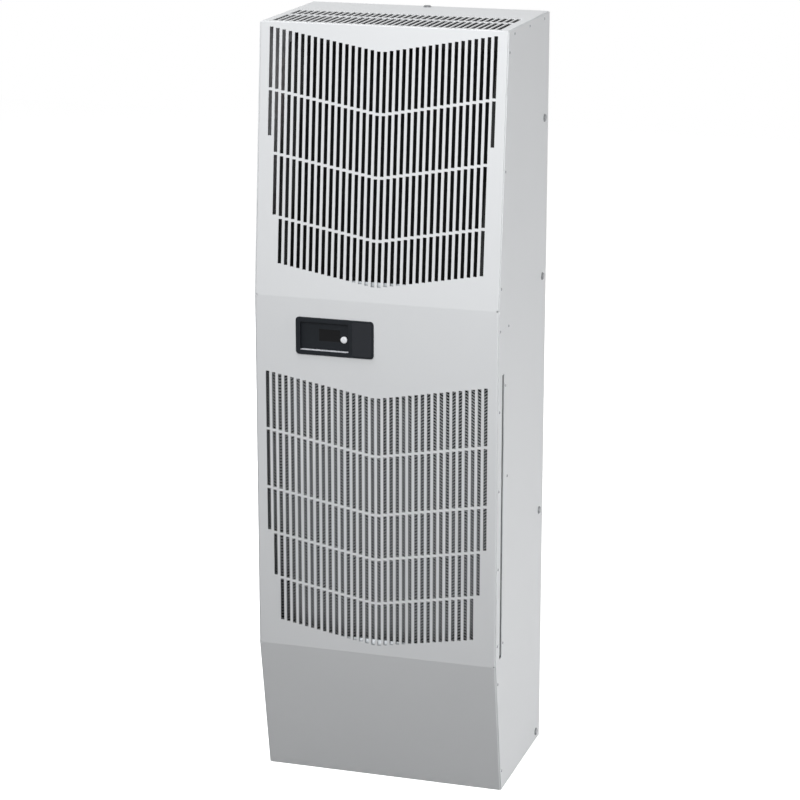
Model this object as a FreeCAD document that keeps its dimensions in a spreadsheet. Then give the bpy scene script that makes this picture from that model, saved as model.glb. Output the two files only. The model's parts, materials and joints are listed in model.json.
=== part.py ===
"""Enclosure air conditioner: a bent-sheet cabinet with a slide-out air filter, two fans and a sealed
refrigerant circuit. Millimetres, +Z up, front towards -Y, origin under the middle of the cabinet."""
import FreeCAD, Part
import math
import os
import re
import Sketcher

Vector = FreeCAD.Vector
Rotation = FreeCAD.Rotation
TOLERANCE = 0.01

SIZES = {
    # cabinet
    "cabinet_width": 432.0,
    "depth": 310.0,
    "lower_height": 246.0,
    "middle_height": 630.0,
    "upper_height": 460.0,
    "top_recess": 44.0,
    "bottom_recess": 44.0,
    "sheet": 1.5,
    "bend_radius": 1.6,
    "flange": 20.0,
    "fit_gap": 0.3,
    "relief_radius": 2.2,
    # grilles and top vents
    "slot_pitch": 11.11,
    "slot_width": 6.3,
    "slot_web": 4.5,
    "slot_side_margin": 16.0,
    "vee_angle": 10.0,
    "short_share": 0.75,
    "upper_top_margin": 9.0,
    "upper_bottom_margin": 26.0,
    "control_band": 133.0,
    "lower_bottom_margin": 17.0,
    "vent_width": 7.4,
    "vent_front_margin": 12.0,
    "vent_front_length": 81.0,
    "vent_gap": 6.0,
    "vent_rear_length": 53.0,
    # rivets and cover screws
    "rivet_radius": 1.6,
    "rivet_head_radius": 2.6,
    "rivet_head_height": 1.0,
    "rivet_reach": 3.0,
    "rivet_inset": 9.0,
    "rivet_end": 36.0,
    "screw_radius": 3.0,
    "screw_head_radius": 7.0,
    "screw_head_height": 1.0,
    "screw_hex": 10.0,
    "screw_hex_height": 1.6,
    "screw_reach": 9.0,
    "screw_inset": 26.0,
    "screw_low": 16.0,
    "screw_second": 444.0,
    "screw_third": 875.0,
    "screw_high": 1155.0,
    "top_screw_inset": 12.0,
    # rear chassis, base and mounting
    "chassis_flange": 40.0,
    "base_raise": 26.0,
    "gasket_thick": 5.0,
    "gasket_inset": 26.0,
    "gasket_width": 18.0,
    "insert_bore": 3.3,
    "insert_radius": 4.5,
    "insert_head_radius": 7.0,
    "insert_head_height": 1.0,
    "insert_length": 14.0,
    "insert_inset": 14.0,
    "insert_low": 40.0,
    "insert_second": 460.0,
    "insert_third": 880.0,
    "insert_high": 1296.0,
    "outlet_side_gap": 59.0,
    "outlet_slot_height": 10.0,
    "outlet_pitch": 22.0,
    "outlet_rows": 12,
    "outlet_centre": 340.0,
    "outlet_rib": 14.0,
    "wiring_radius": 14.0,
    "wiring_bore": 10.0,
    "wiring_lip": 3.0,
    "wiring_z": 80.0,
    "wiring_side_gap": 76.0,
    # air filter
    "filter_thick": 12.0,
    "filter_set_back": 24.5,
    "filter_low": 256.0,
    "filter_height": 502.0,
    "filter_border": 9.0,
    "filter_wall": 1.2,
    "filter_clear": 0.6,
    "filter_rail_depth": 20.0,
    "filter_rail_lip": 9.0,
    "filter_dam_height": 17.0,
    "filter_rail_wall": 1.2,
    "filter_slot_end": 3.0,
    "mesh_sheet": 0.8,
    "mesh_fold": 6.0,
    # partition, bulkhead and coil shelf
    "rear_bay": 100.0,
    "side_return": 16.0,
    "bulkhead_set_back": 70.0,
    "bulkhead_low": 430.0,
    "shelf_depth": 84.0,
    "shelf_lip": 18.0,
    # condenser and evaporator coils
    "tube_radius": 4.75,
    "tube_pitch": 25.4,
    "tube_row_gap": 22.0,
    "tube_clear": 0.1,
    "coil_depth": 44.0,
    "coil_side_bay": 48.0,
    "end_plate": 1.5,
    "tube_stub": 20.0,
    "condenser_lean": 17.0,
    "condenser_set_back": 30.0,
    "condenser_low": 905.0,
    "condenser_height": 400.0,
    "condenser_filler": 30.0,
    "evaporator_set_back": 22.0,
    "evaporator_low": 176.0,
    "evaporator_height": 330.0,
    "evaporator_filler": 20.0,
    "bracket_height": 14.0,
    # drip tray and drain
    "tray_low": 130.0,
    "tray_height": 44.0,
    "tray_side_gap": 20.0,
    "tray_wall": 2.0,
    "drain_radius": 6.3,
    "drain_bore": 4.8,
    "drain_flange_radius": 12.0,
    "drain_below": 22.0,
    "drain_x": 90.0,
    "spigot_radius": 5.9,
    "spigot_length": 18.0,
    # fans
    "shaft_radius": 6.0,
    "shaft_clear": 0.05,
    "hub_radius": 18.0,
    "disc_thick": 3.0,
    "blade_thick": 2.0,
    "eye_clear": 3.0,
    "ring_wall": 1.5,
    "ring_flange": 26.0,
    "condenser_fan_z": 640.0,
    "condenser_fan_radius": 130.0,
    "condenser_eye_radius": 86.0,
    "condenser_blade_width": 60.0,
    "condenser_motor_radius": 55.0,
    "condenser_motor_gap": 5.0,
    "evaporator_fan_z": 1080.0,
    "evaporator_fan_radius": 115.0,
    "evaporator_eye_radius": 76.0,
    "evaporator_blade_width": 40.0,
    "evaporator_motor_radius": 50.0,
    "evaporator_motor_gap": 5.0,
    "fan_inlet_gap": 12.0,
    "collar_entry": 4.0,
    "motor_flange": 4.0,
    "motor_flange_rim": 18.0,
    "guard_wire": 1.2,
    "guard_pitch": 19.0,
    "guard_rim": 8.0,
    "guard_rings": 4,
    "blade_count": 9,
    "blade_sweep": 48.0,
    "hub_length": 24.0,
    "bearing_depth": 24.0,
    # compressor
    "compressor_x": -40.0,
    "compressor_set_back": 79.0,
    "compressor_radius": 59.0,
    "compressor_height": 240.0,
    "compressor_wall": 3.5,
    "compressor_cap": 34.0,
    "foot_half_length": 84.0,
    "foot_half_width": 66.0,
    "foot_thick": 4.0,
    "foot_inset": 14.0,
    "grommet_height": 14.0,
    "grommet_radius": 11.0,
    "bolt_radius": 4.0,
    "bolt_head_radius": 8.0,
    "bolt_head_height": 5.0,
    "accumulator_radius": 25.0,
    "accumulator_low": 120.0,
    "accumulator_height": 165.0,
    "accumulator_gap": 4.0,
    "terminal_width": 40.0,
    "terminal_height": 50.0,
    "terminal_depth": 22.0,
    # refrigerant lines
    "suction_radius": 6.35,
    "discharge_radius": 4.75,
    "liquid_radius": 4.0,
    "capillary_radius": 1.6,
    "drier_radius": 12.0,
    "drier_low": 640.0,
    "drier_height": 105.0,
    "line_clear": 0.5,
    "riser_side_gap": 66.0,
    "riser_y": 25.0,
    "riser_z": 800.0,
    "riser_rise": 26.0,
    "drier_side_gap": 34.0,
    "drier_y": 32.0,
    "capillary_z": 532.0,
    "suction_side_gap": 13.0,
    "suction_z": 562.0,
    "suction_drop": 90.0,
    # control box
    "box_side_gap": 14.0,
    "box_width": 140.0,
    "box_depth": 94.0,
    "box_low": 60.0,
    "box_height": 270.0,
    "box_wall": 1.2,
    # controller
    "bezel_left": 74.5,
    "bezel_width": 139.0,
    "bezel_height": 65.0,
    "bezel_low": 98.0,
    "bezel_proud": 3.0,
    "bezel_radius": 5.0,
    "window_inset": 8.0,
    "window_width": 86.5,
    "window_height": 49.0,
    "window_depth": 7.0,
    "window_wall": 3.0,
    "module_depth": 42.0,
    "display_left": 32.0,
    "display_low": 16.0,
    "display_width": 38.0,
    "display_height": 21.0,
    "display_thick": 1.2,
    "button_radius": 6.0,
    "button_left": 77.0,
    "button_low": 21.0,
    "button_proud": 3.5,
    "button_travel": 1.5,
    "button_flange": 1.5,
    "button_clear": 0.4,
}

# planes, corners and spans that follow from the sizes
PLACES = {
    "height": "lower_height + middle_height + upper_height",
    "bend_low": "lower_height",
    "bend_high": "lower_height + middle_height",
    "half_width": "cabinet_width / 2",
    "inner_x": "half_width - sheet",
    "coil_half_width": "half_width - coil_side_bay",
    "tray_half_width": "half_width - tray_side_gap",
    "suction_x": "half_width - suction_side_gap",
    "drier_x": "half_width - drier_side_gap",
    "riser_x": "half_width - riser_side_gap",
    "box_x": "half_width - box_side_gap - box_width",
    "wiring_x": "half_width - wiring_side_gap",
    "outlet_slot_length": "half_width - outlet_side_gap - outlet_rib / 2",
    "panel_x": "inner_x - fit_gap",
    "chassis_x": "panel_x - sheet - fit_gap",
    "rear_y": "(depth + bezel_proud - gasket_thick) / 2",
    "front_y": "rear_y - depth",
    "top_y": "front_y + top_recess",
    "bottom_y": "front_y + bottom_recess",
    "rear_inside": "rear_y - sheet",
    "columns": "floor((half_width - slot_side_margin) / slot_pitch + 0.5)",
    "vee_rise": "slot_pitch * tan(vee_angle)",
    "upper_top": "height - upper_top_margin - (columns - 1) * vee_rise",
    "upper_slot": "(upper_top - bend_high - upper_bottom_margin - 3 * slot_web) / (3 + short_share)",
    "lower_top": "bend_high - control_band - (columns - 1) * vee_rise",
    "lower_slot": "(lower_top - bend_low - lower_bottom_margin - 4 * slot_web) / (2 + 3 * short_share)",
    "upper_step": "upper_slot + slot_web",
    "lower_step": "lower_slot + slot_web",
    "short_step": "short_share * lower_slot + slot_web",
    "lower_third": "lower_top - 2 * lower_step",
    "filter_y": "front_y + filter_set_back",
    "filter_top": "filter_low + filter_height",
    "dam_y": "front_y + sheet + 6 * fit_gap",
    "filter_x": "inner_x - 2 * fit_gap",
    "partition_y": "rear_y - rear_bay",
    "partition_back": "partition_y + sheet",
    "bulkhead_y": "front_y + bulkhead_set_back",
    "bulkhead_back": "bulkhead_y + sheet",
    "shelf_top": "condenser_low - coil_depth * sin(condenser_lean) - fit_gap",
    "shelf_y": "front_y + sheet + 6 * fit_gap + upper_slant * (shelf_top + shelf_lip - bend_high)",
    "upper_slant": "top_recess / upper_height",
    "lower_slant": "bottom_recess / lower_height",
    "condenser_y": "front_y + condenser_set_back",
    "condenser_top_y": "condenser_y + condenser_height * sin(condenser_lean)"
                       " + coil_depth * cos(condenser_lean)",
    "condenser_top": "condenser_low + condenser_height * cos(condenser_lean)"
                     " - coil_depth * sin(condenser_lean)",
    "evaporator_y": "rear_y - evaporator_set_back - coil_depth",
    "tab_y": "filter_y + filter_thick + filter_clear + side_return / 2",
    "row_front": "(coil_depth - tube_row_gap) / 2",
    "row_rear": "(coil_depth + tube_row_gap) / 2",
    "condenser_passes": "2 * floor(condenser_height / (2 * tube_pitch))",
    "evaporator_passes": "2 * floor(evaporator_height / (2 * tube_pitch))",
    "condenser_end": "(condenser_height + (condenser_passes - 1) * tube_pitch) / 2",
    "evaporator_end": "(evaporator_height + (evaporator_passes - 1) * tube_pitch) / 2",
    "tray_top": "tray_low + tray_height",
    "drain_y": "(partition_back + rear_inside) / 2",
    "base_front": "bottom_y + sheet + fit_gap",
    "base_rear": "rear_inside - fit_gap",
    "condenser_fan_front": "bulkhead_back + fan_inlet_gap",
    "condenser_fan_depth": "2 * disc_thick + condenser_blade_width",
    "condenser_fan_back": "condenser_fan_front + condenser_fan_depth",
    "condenser_motor_front": "condenser_fan_back + condenser_motor_gap",
    "evaporator_fan_rear": "rear_inside - fan_inlet_gap - ring_wall",
    "evaporator_fan_depth": "2 * disc_thick + evaporator_blade_width",
    "evaporator_fan_back": "evaporator_fan_rear - evaporator_fan_depth",
    "evaporator_motor_front": "evaporator_fan_back - evaporator_motor_gap",
    "compressor_y": "partition_y - compressor_set_back",
    "compressor_low": "base_raise + grommet_height + foot_thick",
    "compressor_top": "compressor_low + compressor_height",
    "accumulator_x": "compressor_x - compressor_radius - accumulator_gap - accumulator_radius",
    "line_x": "coil_half_width + end_plate + tube_stub",
    "bezel_x": "bezel_left - half_width",
    "bezel_z": "bend_high - bezel_low",
    "window_x": "bezel_x + window_inset",
    "window_z": "bezel_z + (bezel_height - window_height) / 2",
    "window_face": "front_y - bezel_proud + window_depth",
    "button_x": "window_x + button_left",
    "button_z": "window_z + button_low",
}

doc = FreeCAD.newDocument("EnclosureAirConditioner")
sheet = doc.addObject("Spreadsheet::Sheet", "Sizes")
for row, (size_name, size) in enumerate(SIZES.items(), start=1):
    sheet.set(f"A{row}", size_name)
    sheet.set(f"B{row}", str(size))
    sheet.setAlias(f"B{row}", size_name)
doc.recompute()

nodes = []


def expand(rule):
    """Spell a rule out in the cells of the size sheet."""
    def word(match):
        name = match.group(0)
        if name in PLACES:
            return "(" + expand(PLACES[name]) + ")"
        return "Sizes." + name if name in SIZES else name
    return re.sub(r"[a-z][a-z_]*", word, rule)


def number(rule):
    """The present value of a rule."""
    return float(sheet.evalExpression(expand(rule)))


def bind(thing, **rules):
    """Tie properties to rules; a double underscore stands for a dot in a property's path."""
    for path, rule in rules.items():
        thing.setExpression(path.replace("__", "."), expand(rule))


def place(thing, x="0", y="0", z="0"):
    bind(thing, Placement__Base__x=x, Placement__Base__y=y, Placement__Base__z=z)
    return thing


def node(thing, label):
    """Keep an object as a finished sub-part."""
    thing.Label = label
    nodes.append(thing)
    return thing


# solids from primitives

def box(name, x, y, z):
    """A block between the low and high rules of each axis."""
    block = doc.addObject("Part::Box", name)
    for side, (low, high) in zip(("Length", "Width", "Height"), (x, y, z)):
        bind(block, **{side: f"({high}) - ({low})"})
    return place(block, x[0], y[0], z[0])


TURNS = {
    "x": Rotation(Vector(0, 1, 0), 90),
    "-x": Rotation(Vector(0, -1, 0), 90),
    "y": Rotation(Vector(-1, 0, 0), 90),
    "-y": Rotation(Vector(1, 0, 0), 90),
    "z": Rotation(),
}


def rod(name, axis, radius, start, length):
    """A round bar from a start point along an axis."""
    bar = doc.addObject("Part::Cylinder", name)
    bind(bar, Radius=radius, Height=length)
    bar.Placement = FreeCAD.Placement(Vector(), TURNS[axis])
    return place(bar, *start)


def cut(name, base, *tools):
    result = doc.addObject("Part::Cut", name)
    result.Base = base
    result.Tool = tools[0] if len(tools) == 1 else group(name + "_tools", *tools)
    return result


def fuse(name, *things):
    result = doc.addObject("Part::MultiFuse", name)
    result.Shapes = list(things)
    return result


def group(name, *things):
    """Separate solids kept together in one object."""
    result = doc.addObject("Part::Compound", name)
    result.Links = list(things)
    return result


# bodies from sketches

def body(name):
    return doc.addObject("PartDesign::Body", name)


def plane_of(owner, role):
    return next(item for item in owner.Origin.OriginFeatures if item.Role == role)


def sketch(owner, plane, offset="0"):
    """A sketch on one of the body's own planes, moved along that plane's normal."""
    drawing = owner.newObject("Sketcher::SketchObject", owner.Name + "_sketch")
    drawing.AttachmentSupport = (plane_of(owner, plane), [""])
    drawing.MapMode = "FlatFace"
    bind(drawing, AttachmentOffset__Base__z=offset)
    return drawing


def fix(drawing, kind, rule, *where):
    index = drawing.addConstraint(Sketcher.Constraint(kind, *where, number(rule)))
    drawing.setExpression(f"Constraints[{index}]", expand(rule))


def locate(drawing, item, end, u, v):
    """Hold a point of the drawing at rules for its two coordinates."""
    fix(drawing, "DistanceX", u, -1, 1, item, end)
    fix(drawing, "DistanceY", v, -1, 1, item, end)


def polygon(drawing, *points):
    """A closed outline through points given as pairs of rules."""
    spots = [Vector(number(u), number(v), 0) for u, v in points]
    first = drawing.GeometryCount
    count = len(points)
    for index in range(count):
        drawing.addGeometry(Part.LineSegment(spots[index], spots[(index + 1) % count]))
    for index in range(count):
        drawing.addConstraint(
            Sketcher.Constraint("Coincident", first + index, 2, first + (index + 1) % count, 1))
    for index, (u, v) in enumerate(points):
        locate(drawing, first + index, 1, u, v)


def rectangle(drawing, u, v):
    polygon(drawing, (u[0], v[0]), (u[1], v[0]), (u[1], v[1]), (u[0], v[1]))


def circle(drawing, u, v, radius):
    centre = Vector(number(u), number(v), 0)
    item = drawing.addGeometry(Part.Circle(centre, Vector(0, 0, 1), number(radius)))
    locate(drawing, item, 3, u, v)
    fix(drawing, "Radius", radius, item)


def pad(owner, drawing, length, symmetric=False):
    feature = owner.newObject("PartDesign::Pad", owner.Name + "_pad")
    feature.Profile = drawing
    bind(feature, Length=length)
    if symmetric:
        feature.SideType = "Symmetric"
    return feature


def pocket(owner, drawing, length, forward=True, symmetric=False):
    """Cut along the drawing's normal, or against it."""
    feature = owner.newObject("PartDesign::Pocket", owner.Name + "_pocket")
    feature.Profile = drawing
    feature.Reversed = forward
    bind(feature, Length=length)
    if symmetric:
        feature.SideType = "Symmetric"
    return feature


def repeat(owner, original, *steps, mirror=False):
    """Repeat a cut along steps of (sketch axis, spacing, count), then mirror it left to right."""
    pattern = owner.newObject("PartDesign::MultiTransform", owner.Name + "_rows")
    pattern.Originals = [original]
    parts = []
    for axis, spacing, count in steps:
        step = owner.newObject("PartDesign::LinearPattern", owner.Name + "_step")
        step.Direction = (original.Profile[0], [axis])
        step.Mode = "Spacing"
        bind(step, Offset=spacing, Occurrences=count)
        parts.append(step)
    if mirror:
        other_side = owner.newObject("PartDesign::Mirrored", owner.Name + "_mirror")
        other_side.MirrorPlane = (plane_of(owner, "YZ_Plane"), [""])
        parts.append(other_side)
    pattern.Transformations = parts
    owner.Tip = pattern
    return pattern


def shell(owner, thick, is_open, is_bend=None):
    """Leave a sheet of a block, open where the real one is, and round its bends."""
    doc.recompute()
    solid = owner.Tip
    openings = [f"Face{i}" for i, face in enumerate(solid.Shape.Faces, start=1) if is_open(face.BoundBox)]
    wall = owner.newObject("PartDesign::Thickness", owner.Name + "_wall")
    wall.Base = (solid, openings)
    wall.Reversed = True
    wall.Join = "Intersection"
    bind(wall, Value=thick)
    if is_bend is None:
        return
    doc.recompute()
    marks = [edge.CenterOfMass for edge in solid.Shape.Edges if is_bend(edge.BoundBox)]
    bends = [f"Edge{i}" for i, edge in enumerate(wall.Shape.Edges, start=1)
             if any(edge.CenterOfMass.isEqual(mark, TOLERANCE) for mark in marks)]
    fillet = owner.newObject("PartDesign::Fillet", owner.Name + "_bends")
    fillet.Base = (wall, bends)
    bind(fillet, Radius="bend_radius")


def turned(name, axis, *points):
    """A body of revolution from (radius, distance along the axis) pairs."""
    owner = body(name)
    drawing = sketch(owner, "XZ_Plane")
    polygon(drawing, *points)
    spin = owner.newObject("PartDesign::Revolution", name + "_turned")
    spin.Profile = drawing
    spin.ReferenceAxis = (drawing, ["V_Axis"])
    owner.Placement = FreeCAD.Placement(Vector(), TURNS[axis])
    return owner


def tube(name, radius, bend, *points):
    """A solid bar of round section along straight runs joined by tangent arcs."""
    spots = [Vector(*(number(rule) for rule in point)) for point in points]
    edges = []
    last = spots[0]
    for before, corner, after in zip(spots, spots[1:], spots[2:]):
        inward = (before - corner).normalize()
        outward = (after - corner).normalize()
        half = inward.getAngle(outward) / 2
        back = number(bend) / math.tan(half)
        start = corner + inward * back
        finish = corner + outward * back
        bisector = (inward + outward).normalize()
        middle = corner + bisector * (number(bend) / math.sin(half) - number(bend))
        edges.append(Part.LineSegment(last, start).toShape())
        edges.append(Part.Arc(start, middle, finish).toShape())
        last = finish
    edges.append(Part.LineSegment(last, spots[-1]).toShape())
    path = Part.Wire(edges)
    profile = Part.Wire(Part.makeCircle(number(radius), spots[0], spots[1] - spots[0]))
    line = doc.addObject("Part::Feature", name)
    line.Shape = path.makePipeShell([profile], True, True)
    return line


# cabinet

def spread(first, last, count):
    """Evenly spaced rules from one rule to another."""
    return [f"({first}) + {index} * (({last}) - ({first})) / {count - 1}" for index in range(count)]


def cover_rivet_spots():
    """The (y, z) rules of the rivets along the front and top edges of a side."""
    spots = []
    for z in spread("rivet_end", "bend_low - rivet_end", 2):
        spots.append((f"front_y + rivet_inset + lower_slant * (bend_low - ({z}))", z))
    for z in spread("bend_low + rivet_end", "bend_high - rivet_end", 5):
        spots.append(("front_y + rivet_inset", z))
    for z in spread("bend_high + rivet_end", "height - rivet_end", 3):
        spots.append((f"front_y + rivet_inset + upper_slant * (({z}) - bend_high)", z))
    for y in spread("top_y + rivet_end", "rear_y - rivet_end", 3):
        spots.append((y, "height - rivet_inset"))
    return spots


GUIDE_RIVET_SPOTS = [
    ("bulkhead_y - side_return / 2", "shelf_top - 1.5 * rivet_end"),
    ("bulkhead_y - side_return / 2", "bulkhead_low + 4 * rivet_end"),
    ("tab_y", "filter_top - filter_rail_depth"),
    ("tab_y", "filter_low + filter_rail_depth"),
]

SCREW_HEIGHTS = ["screw_low", "screw_second", "screw_third", "screw_high"]
INSERT_HEIGHTS = ["insert_low", "insert_second", "insert_third", "insert_high"]


def grille_rows(column, last, on_right):
    """The (top, length) rules of one column's slots, as they stand beside the middle line."""
    short = "short_share * upper_slot"
    upper = [(f"upper_top - {row} * upper_step", "upper_slot") for row in range(3)]
    upper.append(("upper_top - 3 * upper_step", short))
    if column == last:
        upper = [upper[0], ("upper_top - upper_step", short)]
    elif column == last - 1 and not on_right:
        upper = upper[:3]
    lower = [("lower_top", "lower_slot"), ("lower_top - lower_step", "lower_slot")]
    lower += [(f"lower_third - {row} * short_step", "short_share * lower_slot") for row in range(3)]
    return upper + lower[:3 + min(2, last - column)]


def slot_cutters():
    """Blocks that pierce the grilles, each column a step higher than its inner neighbour, and the vents."""
    cutters = []
    last = round(number("columns"))
    across = ("front_y - sheet", "top_y + 2 * sheet")
    above = ("height - 2 * sheet", "height + sheet")
    vent = "top_y + vent_front_margin"
    rear_vent = f"{vent} + vent_front_length + vent_gap"
    for on_right in (True, False):
        for column in range(1, last + 1):
            middle = f"{'' if on_right else '-'}slot_pitch * {column - 0.5}"
            width = (f"{middle} - slot_width / 2", f"{middle} + slot_width / 2")
            wide = (f"{middle} - vent_width / 2", f"{middle} + vent_width / 2")
            for top, length in grille_rows(column, last, on_right):
                raised = f"{top} + {column - 1} * vee_rise"
                cutters.append(box("slot", width, across, (f"{raised} - {length}", raised)))
            cutters.append(box("vent", wide, (vent, f"{vent} + vent_front_length"), above))
            cutters.append(box("vent", wide, (rear_vent, f"{rear_vent} + vent_rear_length"), above))
    return cutters


def front_panel():
    """One bent sheet: skirt, middle, upper face and top, with flanges behind the side panels."""
    panel = body("front_sheet")
    outline = sketch(panel, "YZ_Plane")
    polygon(outline, ("bottom_y", "0"), ("front_y", "bend_low"), ("front_y", "bend_high"),
            ("top_y", "height"), ("rear_y", "height"), ("rear_y", "0"))
    pad(panel, outline, "2 * panel_x", symmetric=True)
    rear = number("rear_y") - TOLERANCE
    shell(panel, "sheet", lambda face: face.YMin > rear or face.ZMax < TOLERANCE,
          lambda edge: edge.YMin < rear and edge.ZMax > TOLERANCE)
    waste = sketch(panel, "YZ_Plane")
    polygon(waste, ("bottom_y + flange", "-sheet"), ("front_y + flange", "bend_low"),
            ("front_y + flange", "bend_high"), ("top_y + flange", "height - flange"),
            ("rear_y + sheet", "height - flange"), ("rear_y + sheet", "-sheet"))
    pocket(panel, waste, "cabinet_width", symmetric=True)

    cutout = sketch(panel, "XZ_Plane")
    rectangle(cutout,
              ("window_x - window_wall - fit_gap", "window_x + window_width + window_wall + fit_gap"),
              ("window_z - window_wall - fit_gap", "window_z + window_height + window_wall + fit_gap"))
    pocket(panel, cutout, "sheet - front_y")

    reliefs = sketch(panel, "YZ_Plane", "panel_x - 2 * sheet")
    for y, z in (("front_y", "bend_low"), ("front_y", "bend_high"), ("top_y", "height")):
        circle(reliefs, y, z, "relief_radius")
    notch = pocket(panel, reliefs, "4 * sheet")
    repeat(panel, notch, mirror=True)

    holes = sketch(panel, "YZ_Plane")
    for y, z in cover_rivet_spots():
        circle(holes, y, z, "rivet_radius + fit_gap")
    pocket(panel, holes, "cabinet_width", symmetric=True)
    top_screw = sketch(panel, "XY_Plane")
    circle(top_screw, "0", "rear_y - top_screw_inset", "screw_radius + fit_gap")
    pocket(panel, top_screw, "height + sheet")
    node(cut("front_panel", panel, *slot_cutters()), "front_panel")


def side_panel(name, outer_face, slotted):
    """A flat side, set back from the rounded front and top bends."""
    panel = body(name)
    outline = sketch(panel, "YZ_Plane", outer_face)
    polygon(outline, ("bottom_y + bend_radius", "0"), ("front_y + bend_radius", "bend_low"),
            ("front_y + bend_radius", "bend_high"), ("top_y + bend_radius", "height - bend_radius"),
            ("rear_y", "height - bend_radius"), ("rear_y", "0"))
    pad(panel, outline, "sheet")
    holes = sketch(panel, "YZ_Plane", outer_face)
    for y, z in cover_rivet_spots() + GUIDE_RIVET_SPOTS:
        circle(holes, y, z, "rivet_radius + fit_gap")
    for z in SCREW_HEIGHTS:
        circle(holes, "rear_y - screw_inset", z, "screw_radius + fit_gap")
    if slotted:
        rectangle(holes, ("filter_y - filter_clear", "filter_y + filter_thick + filter_clear"),
                  ("filter_low - filter_slot_end", "filter_top + filter_slot_end"))
    pocket(panel, holes, "4 * sheet", symmetric=True)
    node(panel, name)


def rear_panel():
    """The chassis pan that carries the works and is bolted to the enclosure."""
    pan = body("rear_panel")
    face = sketch(pan, "XZ_Plane", "-rear_y")
    rectangle(face, ("-chassis_x", "chassis_x"), ("0", "height - sheet - fit_gap"))
    pad(pan, face, "chassis_flange")
    rear = number("rear_y") - TOLERANCE
    front = number("rear_y - chassis_flange") + TOLERANCE
    shell(pan, "sheet", lambda opening: opening.YMax < front or opening.ZMax < TOLERANCE,
          lambda edge: edge.YMin > rear and edge.ZMax > TOLERANCE)
    holes = sketch(pan, "XZ_Plane", "-rear_y")
    circle(holes, "0", "evaporator_fan_z", "evaporator_eye_radius")
    circle(holes, "wiring_x", "wiring_z", "wiring_radius")
    for z in INSERT_HEIGHTS:
        for side in ("", "-"):
            circle(holes, f"{side}(half_width - insert_inset)", z, "insert_radius + fit_gap")
    pocket(pan, holes, "4 * sheet", symmetric=True)
    outlet = sketch(pan, "XZ_Plane", "-rear_y")
    low_row = "outlet_centre - (outlet_rows - 1) / 2 * outlet_pitch"
    rectangle(outlet, ("outlet_rib / 2", "outlet_rib / 2 + outlet_slot_length"),
              (f"{low_row} - outlet_slot_height / 2", f"{low_row} + outlet_slot_height / 2"))
    slot = pocket(pan, outlet, "4 * sheet", symmetric=True)
    repeat(pan, slot, ("V_Axis", "outlet_pitch", "outlet_rows"), mirror=True)
    screws = sketch(pan, "YZ_Plane")
    for z in SCREW_HEIGHTS:
        circle(screws, "rear_y - screw_inset", z, "screw_radius + fit_gap")
    pocket(pan, screws, "cabinet_width", symmetric=True)
    top_screw = sketch(pan, "XY_Plane", "height")
    circle(top_screw, "0", "rear_y - top_screw_inset", "screw_radius + fit_gap")
    pocket(pan, top_screw, "4 * screw_reach", forward=False)
    node(pan, "rear_panel")


def base_pan():
    """An inverted tray that stands on its turned-down edges and carries the compressor."""
    pan = body("base_pan")
    half = "(chassis_x - sheet - fit_gap)"
    floor = sketch(pan, "XY_Plane")
    rectangle(floor, (f"-{half}", half), ("base_front", "base_rear"))
    pad(pan, floor, "base_raise")
    top = number("base_raise") - TOLERANCE
    shell(pan, "sheet", lambda face: face.ZMax < TOLERANCE, lambda edge: edge.ZMin > top)
    holes = sketch(pan, "XY_Plane")
    circle(holes, "drain_x", "drain_y", "drain_radius + fit_gap")
    for x, y in foot_spots():
        circle(holes, x, y, "bolt_radius + fit_gap")
    pocket(pan, holes, "base_raise + sheet")
    screws = sketch(pan, "YZ_Plane")
    circle(screws, "rear_y - screw_inset", "screw_low", "screw_radius + fit_gap")
    pocket(pan, screws, "cabinet_width", symmetric=True)
    node(pan, "base_pan")


def mounting_gasket():
    """A moulded rubber frame that seals the openings to the enclosure wall."""
    y = ("rear_y", "rear_y + gasket_thick")
    outer = box("gasket_outer", ("gasket_inset - half_width", "half_width - gasket_inset"), y,
                ("gasket_inset", "height - gasket_inset"))
    edge = "(gasket_inset + gasket_width)"
    inner = box("gasket_inner", (f"{edge} - half_width", f"half_width - {edge}"), y,
                (edge, f"height - {edge}"))
    node(cut("mounting_gasket", outer, inner), "mounting_gasket")


# fasteners

def scatter(label, pattern, placements):
    """Copies of one fastener, as separate solids of one sub-part."""
    doc.recompute()
    copies = []
    for (x, y, z), axis in placements:
        copy = pattern.Shape.copy()
        copy.Placement = FreeCAD.Placement(Vector(number(x), number(y), number(z)), TURNS[axis])
        copies.append(copy)
    result = doc.addObject("Part::Feature", label)
    result.Shape = Part.makeCompound(copies)
    node(result, label)


def on_both_sides(spots):
    right = [(("half_width", y, z), "x") for y, z in spots]
    left = [(("-half_width", y, z), "-x") for y, z in spots]
    return right + left


def rivets():
    """Blind rivets with low domed heads."""
    rivet = turned("rivet", "z", ("0", "-rivet_reach"), ("rivet_radius", "-rivet_reach"),
                   ("rivet_radius", "0"), ("rivet_head_radius", "0"),
                   ("0.75 * rivet_head_radius", "0.7 * rivet_head_height"),
                   ("0.35 * rivet_head_radius", "rivet_head_height"), ("0", "rivet_head_height"))
    scatter("cover_rivets", rivet, on_both_sides(cover_rivet_spots()))
    scatter("guide_rivets", rivet, on_both_sides(GUIDE_RIVET_SPOTS))


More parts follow.
